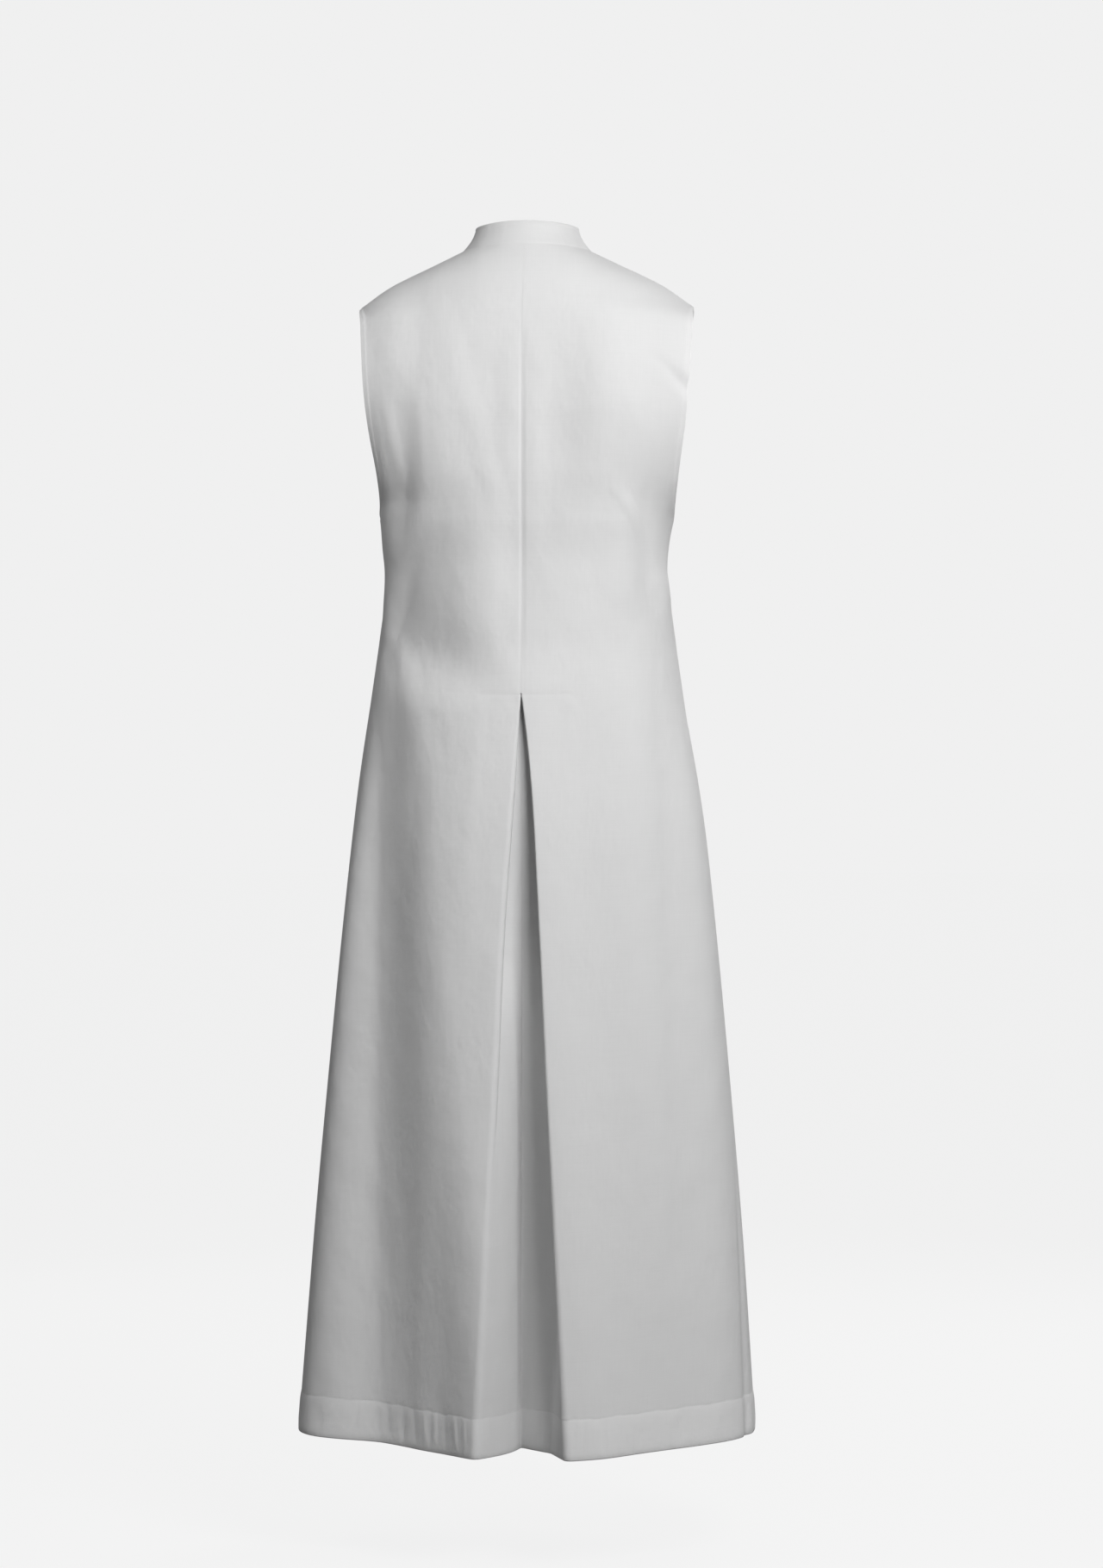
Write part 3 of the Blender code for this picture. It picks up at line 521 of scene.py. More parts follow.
def pleat_path(piece, row):
    """The turn where a row starts, and its pleat extension as level points out to the crease."""
    _, side = half_of(piece)
    down = row - PLEAT_TOP
    pleat = Pleat(*[float(eased(column, down)) for column in zip(*PLEATS)])
    edge, radius = pleat.left_edge, pleat.left_radius
    if side < 0.0:
        edge, radius = pleat.right_edge, pleat.right_radius
    edge += (CLOTH + SEAM_GAP) / 2.0
    turn = turn_at(piece, row, edge + radius)
    (first, further), _ = formed(piece, row, np.array([turn, turn + EDGE_TURN_STEP]))
    along = (first - further)[:2]
    angle = math.atan2(along[1], along[0]) % (2.0 * math.pi)

    return_angle, return_length, opened = pleat.return_angle, pleat.return_length, 0.0
    if side > 0.0:
        return_length *= 1.0 - RUN_OUT_MOST * float(ramp(down, *RUN_OUT))
        return_angle = between(return_angle, OPEN_ANGLE, float(ramp(down, *TURNED_OUT)))
        opened = float(ramp(down, *BOWED))
    turned = 2.0 * math.pi - math.radians(return_angle)
    path = arc_round(first[:2] + radius * heading(angle)[1], -radius, angle, turned)
    forward, left = heading(turned)
    corner = path[-1]
    path += [corner + forward * return_length * step / RETURN_STEPS for step in range(1, RETURN_STEPS + 1)]

    middle = plain_form(piece, np.array([row]), np.array([0.0]))[0]
    crease = np.array([SEAM_GAP / 2.0, middle[1] - pleat.crease_depth])
    soft = float(eased(INNER_FOLD_RADII, down))
    soft = min(soft, INNER_FOLD_MOST * float(np.linalg.norm(crease - path[-1])))
    inner = path[-1] - soft * left
    reach = crease - inner
    back = math.atan2(reach[1], reach[0]) - math.atan2(soft, math.sqrt(reach @ reach - soft**2))
    path += arc_round(inner, soft, turned, min(back % (2.0 * math.pi), turned))

    corner = path[-1]
    slope = (corner[1] - crease[1]) / (corner[0] - crease[0])
    pressed = float(eased(PRESSED_RADII, down))
    for step in range(1, UNDERLAY_STEPS + 1):
        share = 1.0 - (1.0 - step / UNDERLAY_STEPS) ** UNDERLAY_CLOSENESS
        across = (corner[0] - crease[0]) * (1.0 - share)
        path.append(crease + np.array([across, slope * across * (1.0 - math.exp(-across / pressed))]))
    path = bowed_out(np.array(path), crease, opened)
    return turn, np.column_stack([path, np.full(len(path), first[2])])


def fine_rows(piece):
    """The rows of a panel, about a step apart, with a row at every place that matters."""
    is_back, _ = half_of(piece)
    heights = [section.back_z if is_back else section.front_z for section in SECTIONS]
    sides = [section.edge_z for section in SECTIONS]
    rows = []
    for low in range(HEM):
        drop = max(heights[low] - heights[low + 1], sides[low] - sides[low + 1])
        count = math.ceil(drop / ROW_STEP)
        rows += [low + part / count for part in range(count)]
    hem_line = HEM - HEM_TURN_UP / HEM_DROP
    close = [hem_line + part * STITCH_DIP_WIDE / HEM_DROP for part in HEM_STITCH_ROWS]
    close += [UNDERARM + part for part in UNDERARM_ROWS]
    if is_back:
        close += [PLEAT_TOP + part for part in PLEAT_TOP_ROWS]
    rows = [row for row in rows if min(abs(row - other) for other in close) > CLOSEST_ROWS]
    return np.array(sorted(rows + close + [HEM])), hem_line


def spread_columns(count):
    """Shares from 0 to 1 that lie closer together at both ends."""
    even = np.linspace(0.0, 1.0, count + 1)
    return even - END_CLOSENESS * np.sin(2.0 * math.pi * even) / (2.0 * math.pi)


Panel = namedtuple("Panel", "points there rows arcs hem_row lead outer normals", defaults=(None, None))


def panel_grid(piece):
    """A panel's cloth as arrays: rows down, and columns from the pleat's crease to the outer edge."""
    is_back, side = half_of(piece)
    rows, hem_line = fine_rows(piece)
    columns = spread_columns(PANEL_COLUMNS if is_back else FRONT_COLUMNS)
    lead = 2 * ARC_STEPS + RETURN_STEPS + UNDERLAY_STEPS if is_back else 0
    shape = (len(rows), lead + len(columns))
    points = np.zeros(shape + (3,))
    arcs = np.zeros(shape)
    there = np.ones(shape, bool)
    for index, row in enumerate(rows):
        has_pleat = is_back and row >= PLEAT_TOP
        if has_pleat:
            first, path = pleat_path(piece, row)
            points[index, :lead] = path[::-1]
        else:
            first = turn_at(piece, row, SEAM_GAP / 2.0 if is_back else -FRONT_LAP)
            there[index, :lead] = False
        turns = between(first, 1.0, columns)
        points[index, lead:], arcs[index, lead:] = formed(piece, row, turns)
        if has_pleat:
            arcs[index, :lead] = arcs[index, lead] - run_along(points[index, lead::-1])[:0:-1]
    points[:, :, 0] *= side
    points[:, :, 1] *= 1.0 if is_back else -1.0
    hem_row = int(np.argmin(np.abs(rows - hem_line)))
    return Panel(points, there, rows, arcs, hem_row, lead)


def corners_of(grid):
    """The values of a grid at the four corners of each of its facets, in order round it."""
    return grid[:-1, :-1], grid[:-1, 1:], grid[1:, 1:], grid[1:, :-1]


def grid_normals(points, there, facing):
    """The direction across the cloth at every point of a grid, and which facets are whole."""
    a, b, c, d = corners_of(points)
    whole = np.logical_and.reduce(corners_of(there))
    across = unit(np.cross(c - a, d - b) * whole[:, :, None] * facing)
    normals = np.zeros_like(points)
    for part in corners_of(normals):
        part += across
    return unit(normals), whole


def closed_faces(whole, facing):
    """The facets of a sheet's two faces and of the rims between them, for two grids of points."""
    shape = (whole.shape[0] + 1, whole.shape[1] + 1)
    count = shape[0] * shape[1]
    numbers = np.arange(count).reshape(shape)
    outer = np.stack([corner[whole] for corner in corners_of(numbers)], axis=1)
    if facing < 0.0:
        outer = outer[:, ::-1]
    starts, ends = outer.reshape(-1), np.roll(outer, -1, axis=1).reshape(-1)
    open_edges = ~np.isin(starts * count + ends, ends * count + starts)
    starts, ends = starts[open_edges], ends[open_edges]
    rims = np.stack([ends, starts, starts + count, ends + count], axis=1)
    return np.concatenate([outer, outer[:, ::-1] + count, rims])


def cloth_mesh(name, vertices, faces, pattern, layers):
    """A mesh of four-sided facets, with its pattern as a UV map and its doubled cloth marked."""
    used = np.unique(faces)
    renumber = np.full(len(vertices), -1)
    renumber[used] = np.arange(len(used))
    corners = renumber[faces].reshape(-1)
    mesh = bpy.data.meshes.new(name)
    mesh.vertices.add(len(used))
    mesh.vertices.foreach_set("co", vertices[used].astype(np.float32).reshape(-1))
    mesh.loops.add(len(corners))
    mesh.loops.foreach_set("vertex_index", corners.astype(np.int32))
    mesh.polygons.add(len(faces))
    mesh.polygons.foreach_set("loop_start", np.arange(0, len(corners), 4, dtype=np.int32))
    mesh.update(calc_edges=True)
    cloth_map = mesh.uv_layers.new(name="cloth")
    cloth_map.data.foreach_set("uv", pattern[used][corners].astype(np.float32).reshape(-1))
    marks = mesh.attributes.new("layers", "FLOAT", "POINT")
    marks.data.foreach_set("value", layers[used].astype(np.float32))
    mesh.validate()
    mesh.shade_smooth()
    mesh.set_sharp_from_angle(angle=SHARP_EDGE)
    return mesh


def new_object(name, data):
    """A new object in the scene."""
    thing = bpy.data.objects.new(name, data)
    bpy.context.collection.objects.link(thing)
    return thing


def make_sheet(piece, points, there, facing, thickness, pattern, layers, material, trim=np.copy):
    """A closed sheet round a grid, in place of its solid. Gives its outer face and directions."""
    normals, whole = grid_normals(points, there, facing)
    half = normals * thickness[:, :, None] / 2.0
    vertices = np.concatenate([trim(points + half), trim(points - half)]).reshape(-1, 3)
    pattern = np.tile(np.stack(pattern, axis=2).reshape(-1, 2), (2, 1))
    name = piece + "_cloth"
    mesh = cloth_mesh(name, vertices, closed_faces(whole, facing), pattern, np.tile(layers.reshape(-1), 2))
    mesh.materials.append(material)
    thing = new_object(name, mesh)
    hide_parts(piece)
    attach(thing, "root")
    return points + half, normals


def turn_up_hem(panel, facing):
    """Adds the hem's roll and its turn-up, which lies inside the panel, to a panel's grid."""
    normals, _ = grid_normals(panel.points, panel.there, facing)
    roll = []
    for step in range(1, HEM_ROLL_STEPS + 1):
        angle = math.pi * step / HEM_ROLL_STEPS
        drop = np.array([0.0, 0.0, -HEM_ROLL * math.sin(angle)])
        roll.append(panel.points[-1] - normals[-1] * HEM_ROLL * (1.0 - math.cos(angle)) + drop)
    picked = range(len(panel.rows) - 2, panel.hem_row - 1, -1)
    extra = np.array(roll + [panel.points[row] - normals[row] * 2.0 * HEM_ROLL for row in picked])
    points = np.concatenate([panel.points, extra])
    there = np.concatenate([panel.there, np.ones(extra.shape[:2], bool)])
    arcs = np.concatenate([panel.arcs, np.repeat(panel.arcs[-1:], len(extra), axis=0)])
    return panel._replace(points=points, there=there, arcs=arcs)


def make_panel(piece, material):
    """One front or back half as a thin sheet, its hem turned up and its armhole edge turned in."""
    is_back, side = half_of(piece)
    facing = side if is_back else -side
    panel = turn_up_hem(panel_grid(piece), facing)
    levels = np.full(len(panel.points), float(HEM))
    levels[: len(panel.rows)] = panel.rows
    armhole = (levels > TIP) & (levels < UNDERARM)
    doubled = armhole * (1.0 - ramp(levels, UNDERARM - ARMHOLE_TURN_ENDS, UNDERARM))
    past_turn = panel.arcs[:, -1:] - panel.arcs - ARMHOLE_TURN
    turned = doubled[:, None] * (1.0 - ramp(past_turn, -ARMHOLE_TURN_BLUR, ARMHOLE_TURN_BLUR))
    if piece == "front_left":
        turned = np.maximum(turned, 1.0 - ramp(panel.arcs + FRONT_LAP, *FRONT_TURN))
    thickness = CLOTH * (1.0 + turned)
    seam_y = SEAM_GAP / 2.0 if is_back else -SEAM_GAP / 2.0
    above_pleat = ~panel.there[:, 0]

    def trim(points):
        points[~armhole, -1, 1] = seam_y
        if is_back:
            points[above_pleat, panel.lead, 0] = side * SEAM_GAP / 2.0
            points[~above_pleat, 0, 0] = side * SEAM_GAP / 2.0
        return points

    lengths = run_along(panel.points[:, panel.lead + PATTERN_COLUMN])
    pattern = (panel.arcs, np.repeat(-lengths[:, None], panel.arcs.shape[1], axis=1))
    past = past_hem_edge(levels[:, None], panel.arcs)
    layers = np.maximum(TURNED_TONE * turned, 1.0 - ramp(past, -HEM_EDGE_BLUR, HEM_EDGE_BLUR))
    outer, normals = make_sheet(
        piece, panel.points, panel.there, facing, thickness, pattern, layers, material, trim
    )
    return panel._replace(outer=outer, normals=normals)


# The collar, in the same measures as the neck seam
COLLAR_HEIGHT = 0.0285
COLLAR_TOP_X = 0.0590
COLLAR_TOP_BACK = 0.050
COLLAR_TOP_FRONT = 0.062
COLLAR_LEAN = 1.8
COLLAR_LIFT = -0.0004
COLLAR_LAP = 0.012
COLLAR_LAP_BLEND = 0.035
COLLAR_LAP_GAP = 0.0008
COLLAR_CLOTH = 0.0022
COLLAR_STITCH = 0.0038
COLLAR_STITCH_DIP = 0.0008
COLLAR_TOP_ROUND = 0.0014
COLLAR_TOP_THIN = 0.15
COLLAR_SEAM_THIN = 0.5
COLLAR_SEAM_WIDE = 0.0030
COLLAR_PATTERN_RADIUS = 0.066
COLLAR_COLUMNS = 260
COLLAR_ROWS = 22


def collar_point(angle, height):
    """Points on the middle of the collar: angle 0 is the centre back, height 0 to 1."""
    seam = SECTIONS[0]
    across, deep = np.sin(angle), np.cos(angle)
    front = deep < 0.0
    seam_reach = np.where(front, seam.front_y, seam.back_y)
    top_reach = np.where(front, COLLAR_TOP_FRONT, COLLAR_TOP_BACK)
    middle_z = np.where(front, seam.front_z, seam.back_z)
    lean = 1.0 - (1.0 - height) ** COLLAR_LEAN
    half_width = between(seam.edge_x, COLLAR_TOP_X, lean)
    reach = between(seam_reach, top_reach, lean)
    up = between(middle_z, seam.edge_z, across**2) + COLLAR_LIFT + COLLAR_HEIGHT * height
    return np.stack([half_width * across, reach * deep, up], axis=-1)


def make_collar(material):
    """The stand collar, its left end over its right end. Gives the line of its stitching."""
    end = math.pi + math.asin(COLLAR_LAP / COLLAR_TOP_X)
    angle = np.linspace(-end, end, COLLAR_COLUMNS + 1)
    height = spread_columns(COLLAR_ROWS)[::-1]
    points = collar_point(angle[None, :], height[:, None])
    past = points[:, :, 0] + COLLAR_LAP_BLEND
    drop = (COLLAR_CLOTH + COLLAR_LAP_GAP) * ramp(past, 0.0, COLLAR_LAP_BLEND - COLLAR_LAP)
    points[:, :, 1] += np.where(angle[None, :] < -math.pi / 2.0, drop, 0.0)
    there = np.ones(points.shape[:2], bool)
    below = (1.0 - height[:, None]) * COLLAR_HEIGHT * there
    top_edge = np.minimum(1.0, below / COLLAR_TOP_ROUND)
    seam_edge = np.minimum(1.0, (COLLAR_HEIGHT - below) / COLLAR_SEAM_WIDE)
    rounding = np.sqrt(np.clip(1.0 - (1.0 - top_edge) ** 2, COLLAR_TOP_THIN, 1.0))
    thickness = COLLAR_CLOTH * rounding * between(COLLAR_SEAM_THIN, 1.0, seam_edge)
    thickness -= COLLAR_STITCH_DIP * groove(below - COLLAR_STITCH, STITCH_DIP_WIDE)
    pattern = (angle[None, :] * COLLAR_PATTERN_RADIUS * there, -below)
    layers = np.zeros(points.shape[:2])
    outer, normals = make_sheet("collar", points, there, 1.0, thickness, pattern, layers, material)
    row = int(np.argmin(np.abs(below[:, 0] - COLLAR_STITCH)))
    return outer[row], normals[row]


def select_only(things):
    """Selects these objects alone, the first one active."""
    bpy.ops.object.select_all(action="DESELECT")
    for thing in things:
        thing.select_set(True)
    bpy.context.view_layer.objects.active = things[0]


def apply_place():
    """Works the place, turn and size of the selected object into its mesh."""
    bpy.ops.object.transform_apply(location=True, rotation=True, scale=True)


# The stitches
STITCH_PITCH = 0.0030
STITCH_LENGTH = 0.0023
STITCH_WIDE = 0.00055
STITCH_FLATNESS = 0.8
STITCH_AHEAD = 0.001


def one_stitch():
    """The vertices and faces of one stitch, a slim bead that lies along x."""
    bpy.ops.object.select_all(action="DESELECT")
    lying = (0.0, math.pi / 2.0, 0.0)
    bpy.ops.mesh.primitive_uv_sphere_add(segments=6, ring_count=4, radius=0.5, rotation=lying)
    bead = bpy.context.object
    apply_place()
    bead.scale = (STITCH_LENGTH, STITCH_WIDE, STITCH_WIDE * STITCH_FLATNESS)
    apply_place()
    shape = np.array([vertex.co[:] for vertex in bead.data.vertices])
    faces = [list(polygon.vertices) for polygon in bead.data.polygons]
    bpy.data.objects.remove(bead, do_unlink=True)
    return shape, faces


def at_arc(panel, rows, arc):
    """The line down a panel's outer face at one distance along its cloth, or one for each row."""
    lines = []
    for values in (panel.outer, panel.normals):
        spots = zip(rows, np.broadcast_to(arc, (len(rows),)))
        line = [at_run(at, panel.arcs[row, panel.lead :], values[row, panel.lead :]) for row, at in spots]
        lines.append(np.array(line))
    return lines


def stitch_line(line, normals):
    """Places, directions and normals of stitches at an even pitch along a line on the cloth."""
    run = run_along(line)
    at = np.arange(STITCH_PITCH / 2.0, run[-1], STITCH_PITCH)
    along = unit(at_run(at + STITCH_AHEAD, run, line) - at_run(at - STITCH_AHEAD, run, line))
    up = at_run(at, run, normals)
    up -= along * np.sum(up * along, axis=1)[:, None]
    return at_run(at, run, line), along, unit(up)


def stitched_lines(piece, panel):
    """The lines of a panel that are stitched, each with its normals."""
    is_back, _ = half_of(piece)
    start = 0 if is_back else panel.lead
    lines = [(panel.outer[panel.hem_row, start:], panel.normals[panel.hem_row, start:])]
    rows = np.nonzero((panel.rows > TIP) & (panel.rows < UNDERARM))[0]
    lines.append(at_arc(panel, rows, panel.arcs[rows, -1] - ARMHOLE_STITCH))
    if piece == "front_left":
        lines.append(at_arc(panel, np.arange(len(panel.rows)), EDGE_STITCH - FRONT_LAP))
    if is_back:
        row = int(np.argmin(np.abs(panel.rows - PLEAT_TOP)))
        among = np.nonzero(panel.arcs[row, panel.lead :] < STAY_STITCH[piece])[0] + panel.lead
        lines.append((panel.outer[row, among], panel.normals[row, among]))
    return lines


def make_stitching(panels, collar_line, material):
    """Every stitch that shows, as one piece."""
    lines = [collar_line]
    for piece, panel in panels.items():
        lines += stitched_lines(piece, panel)
    shape, faces = one_stitch()
    vertices, rings = [], []
    for line, normals in lines:
        for place, along, up in zip(*stitch_line(line, normals)):
            start = len(vertices) * len(shape)
            vertices.append(place + shape @ np.stack([along, np.cross(up, along), up]))
            rings += [[start + corner for corner in face] for face in faces]
    mesh = bpy.data.meshes.new("stitching")
    mesh.from_pydata(np.concatenate(vertices).tolist(), [], rings)
    mesh.shade_smooth()
    mesh.materials.append(material)
    thing = new_object("stitching", mesh)
    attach(thing, "root")


# The buttons, their thread and the buttonholes
BUTTON_COLOUR = (0.85, 0.85, 0.83, 1.0)
BUTTON_SIDES = 48
BUTTON_RADIUS = 0.0070
BUTTON_THICK = 0.0024
BUTTON_RIM = 0.0015
BUTTON_SLOPE = 0.0006
BUTTON_DISH = 0.0005
BUTTON_ROUND = 0.00045
BUTTON_ROUND_STEPS = 3
BUTTON_ROUND_PAST = math.radians(20.0)
BUTTON_SHARP_EDGE = math.radians(35.0)
BUTTON_HOLE = 0.00075
BUTTON_HOLE_APART = 0.0024
BUTTON_COUNT = 13
FIRST_BUTTON_Z = -0.090
LAST_BUTTON_Z = -1.110
COLLAR_BUTTON_AT = (0.3, 0.45, 0.6)
DRILL_LENGTH = 0.01
THREAD_TONE = 0.80
THREAD_SIDES = 8
THREAD_RADIUS = 0.00026
THREAD_ASIDE = 0.00022
THREAD_RAISED = 0.00012
THREAD_PAST_HOLES = 0.0007
SHANK_RADIUS = 0.0016
BUTTON_STAND = 0.0006
BUTTONHOLE_LENGTH = 0.0170
BUTTONHOLE_WIDE = 0.0022
BUTTONHOLE_THREAD = 0.0006
BUTTONHOLE_FLATNESS = 0.6
BUTTONHOLE_OFF = 0.0060


def cylinder(radius, depth, place, turn=(0.0, 0.0, 0.0), sides=16):
    """A cylinder of its own, selected alone."""
    bpy.ops.object.select_all(action="DESELECT")
    bpy.ops.mesh.primitive_cylinder_add(
        vertices=sides, radius=radius, depth=depth, location=place, rotation=turn
    )
    apply_place()
    return bpy.context.object


def apply_modifier(thing, kind, **settings):
    """Adds one modifier with its settings and applies it."""
    select_only([thing])
    modifier = thing.modifiers.new(kind.lower(), kind)
    for name, value in settings.items():
        setattr(modifier, name, value)
    bpy.ops.object.modifier_apply(modifier=modifier.name)


def joined(things):
    """Several objects made into the first of them."""
    select_only(things)
    bpy.ops.object.join()
    return things[0]


def sewing_bars(off, thread):
    """Two double bars of thread from hole to hole, and the shank of thread under the button."""
    along_x = (0.0, math.pi / 2.0, 0.0)
    top = BUTTON_THICK - BUTTON_DISH + THREAD_RAISED
    length = BUTTON_HOLE_APART + THREAD_PAST_HOLES
    bars = []
    for y in (-off, off):
        for aside in (-THREAD_ASIDE, THREAD_ASIDE):
            bars.append(cylinder(THREAD_RADIUS, length, (0.0, y + aside, top), along_x, THREAD_SIDES))
    bars.append(cylinder(SHANK_RADIUS, BUTTON_STAND, (0.0, 0.0, -BUTTON_STAND / 2.0)))
    for bar in bars:
        bar.data.materials.append(thread)
    return bars


def model_button(plastic, thread):
    """A flat four-hole button on the level, its back at z 0, sewn on with two bars of thread."""
    button = cylinder(BUTTON_RADIUS, BUTTON_THICK, (0.0, 0.0, BUTTON_THICK / 2.0), sides=BUTTON_SIDES)
    bpy.ops.object.mode_set(mode="EDIT")
    bpy.ops.mesh.select_mode(type="FACE")
    bpy.ops.mesh.select_all(action="DESELECT")
    bpy.ops.object.mode_set(mode="OBJECT")
    top = max(button.data.polygons, key=lambda polygon: polygon.center.z)
    top.select = True
    bpy.ops.object.mode_set(mode="EDIT")
    bpy.ops.mesh.inset(thickness=BUTTON_RIM)
    bpy.ops.mesh.inset(thickness=BUTTON_SLOPE, depth=-BUTTON_DISH)
    bpy.ops.object.mode_set(mode="OBJECT")
    rounded = {"width": BUTTON_ROUND, "segments": BUTTON_ROUND_STEPS, "angle_limit": BUTTON_ROUND_PAST}
    apply_modifier(button, "BEVEL", limit_method="ANGLE", **rounded)
    off = BUTTON_HOLE_APART / 2.0
    corners = [(off, off), (off, -off), (-off, off), (-off, -off)]
    drill = joined([cylinder(BUTTON_HOLE, DRILL_LENGTH, (x, y, 0.0)) for x, y in corners])
    apply_modifier(button, "BOOLEAN", operation="DIFFERENCE", object=drill, solver="EXACT")
    bpy.data.objects.remove(drill, do_unlink=True)
    button.data.materials.clear()
    button.data.materials.append(plastic)
    joined([button] + sewing_bars(off, thread))
    bpy.ops.object.shade_smooth_by_angle(angle=BUTTON_SHARP_EDGE)
    return button


def model_buttonhole(thread):
    """The stitched edge of a buttonhole that lies along x, level at z 0."""
    bpy.ops.object.select_all(action="DESELECT")
    bpy.ops.mesh.primitive_torus_add(
        major_segments=40,
        minor_segments=THREAD_SIDES,
        major_radius=BUTTONHOLE_LENGTH / 2.0,
        minor_radius=BUTTONHOLE_THREAD,
    )
    ring = bpy.context.object
    ring.scale = (1.0, BUTTONHOLE_WIDE / BUTTONHOLE_LENGTH, BUTTONHOLE_FLATNESS)
    apply_place()
    ring.data.materials.append(thread)
    bpy.ops.object.shade_smooth()
    return ring


def seat_matrix(place, normal):
    """The place of a thing that stands on the cloth, its x along the cloth's level line."""
    up = Vector(normal).normalized()
    across = Vector((1.0, 0.0, 0.0))
    across = (across - up * across.dot(up)).normalized()
    turn = Matrix((across, up.cross(across), up)).transposed().to_4x4()
    return Matrix.Translation(Vector(place)) @ turn


def placed_copy(shape, name, matrix):
    """A copy of a shape with its place worked into its mesh."""
    mesh = shape.data.copy()
    mesh.name = name
    mesh.transform(matrix)
    return new_object(name, mesh)


def button_seats(front):
    """Where each button sits: its name, the place on the cloth and the direction out of it."""
    line, normals = at_arc(front, np.arange(len(front.rows)), 0.0)
    falling = -line[:, 2]
    seats = []
    for number in range(BUTTON_COUNT):
        height = between(FIRST_BUTTON_Z, LAST_BUTTON_Z, number / (BUTTON_COUNT - 1))
        _, out, up = at_run(-height, falling, normals)
        seats.append((f"button_{number + 1:02d}", at_run(-height, falling, line), (0.0, out, up)))
    low, middle, high = [collar_point(np.array(math.pi), np.array(part)) for part in COLLAR_BUTTON_AT]
    slope = high - low
    normal = Vector((0.0, -slope[2], slope[1])).normalized()
    seats.append(("button_collar", Vector(middle) + normal * COLLAR_CLOTH / 2.0, normal))
    return seats


def make_buttons(front, plastic, thread):
    """Each button in place of its solid, and the buttonholes under them as one piece."""
    shape = model_button(plastic, thread)
    hole = model_buttonhole(thread)
    holes = []
    for name, place, normal in button_seats(front):
        matrix = seat_matrix(place, normal)
        button = placed_copy(shape, name + "_detail", matrix @ Matrix.Translation((0.0, 0.0, BUTTON_STAND)))
        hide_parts(name)
        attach(button, "root")
        if name != "button_collar":
            aside = Matrix.Translation((BUTTONHOLE_OFF, 0.0, 0.0))
            holes.append(placed_copy(hole, name + "_hole", matrix @ aside))
    bpy.data.objects.remove(shape, do_unlink=True)
    bpy.data.objects.remove(hole, do_unlink=True)
    holes = joined(holes)
    holes.name = "buttonholes"
    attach(holes, "root")


# The tone and the weave of the cloth, in metres of the cloth's own map. Each noise is drawn out
# to so many waves a metre across and down.
CLOTH_TONE = 0.82
DOUBLED_TONE = 0.06
TURNED_TONE = 0.4
THREAD_PITCH = 0.00075
WEAVE_DEPTH = 0.00010
SLUB_TONE = 0.014
SLUB_SPAN = (0.6, 1.4)
WARP_SLUBS = (900.0, 22.0, 1.0)
WEFT_SLUBS = (22.0, 900.0, 1.0)
SLUB_DETAIL = 2.0
CRUMPLE = (26.0, 15.0, 1.0)
CRUMPLE_DETAIL = 3.0
CRUMPLE_DEPTH = 0.0022


def feed(tree, socket, value):
    """Gives an input a value, or links it to another node's output."""
    if isinstance(value, bpy.types.NodeSocket):
        tree.links.new(value, socket)
    else:
        socket.default_value = value


def set_inputs(tree, node, **inputs):
    """Feeds a node's inputs by their names, with _ for a space, and returns the node."""
    for name, value in inputs.items():
        feed(tree, node.inputs[name.replace("_", " ")], value)
    return node


def add_node(tree, kind, **inputs):
    """A new shader node with its inputs fed."""
    return set_inputs(tree, tree.nodes.new("ShaderNode" + kind), **inputs)


def add_math(tree, operation, *values):
    """The result of a math node whose inputs are sockets or numbers."""
    node = tree.nodes.new("ShaderNodeMath")
    node.operation = operation
    for socket, value in zip(node.inputs, values):
        feed(tree, socket, value)
    return node.outputs[0]


def new_material(name, **inputs):
    """A material with its shader's inputs set, and that shader."""
    material = bpy.data.materials.new(name)
    material.use_nodes = True
    shader = material.node_tree.nodes["Principled BSDF"]
    return material, set_inputs(material.node_tree, shader, **inputs)


def plain_weave():
    """A shader node group: threads that go over and under each other, as a height from 0 to 1."""
    tree = bpy.data.node_groups.new("plain_weave", "ShaderNodeTree")
    tree.interface.new_socket("Place", in_out="INPUT", socket_type="NodeSocketVector")
    tree.interface.new_socket("Height", in_out="OUTPUT", socket_type="NodeSocketFloat")
    split = add_node(tree, "SeparateXYZ", Vector=tree.nodes.new("NodeGroupInput").outputs["Place"])
    waves, floors = [], []
    for axis in range(2):
        count = add_math(tree, "DIVIDE", split.outputs[axis], THREAD_PITCH)
        wave = add_math(tree, "SINE", add_math(tree, "MULTIPLY", count, math.pi))
        waves.append(add_math(tree, "ABSOLUTE", wave))
        floors.append(add_math(tree, "FLOOR", count))
    over = add_math(tree, "FLOORED_MODULO", add_math(tree, "ADD", *floors), 2.0)
    warp = add_math(tree, "MULTIPLY", waves[0], over)
    weft = add_math(tree, "MULTIPLY", waves[1], add_math(tree, "SUBTRACT", 1.0, over))
    height = add_math(tree, "ADD", warp, weft)
    tree.links.new(height, tree.nodes.new("NodeGroupOutput").inputs["Height"])
    return tree


def drawn_out_noise(tree, place, waves, detail):
    """Noise with its own number of waves a metre in each direction of the cloth."""
    stretched = add_node(tree, "Mapping", Vector=place, Scale=waves).outputs["Vector"]
    noise = add_node(tree, "TexNoise", Vector=stretched, Scale=1.0, Detail=detail, Roughness=0.5)
    return noise.outputs["Fac"]


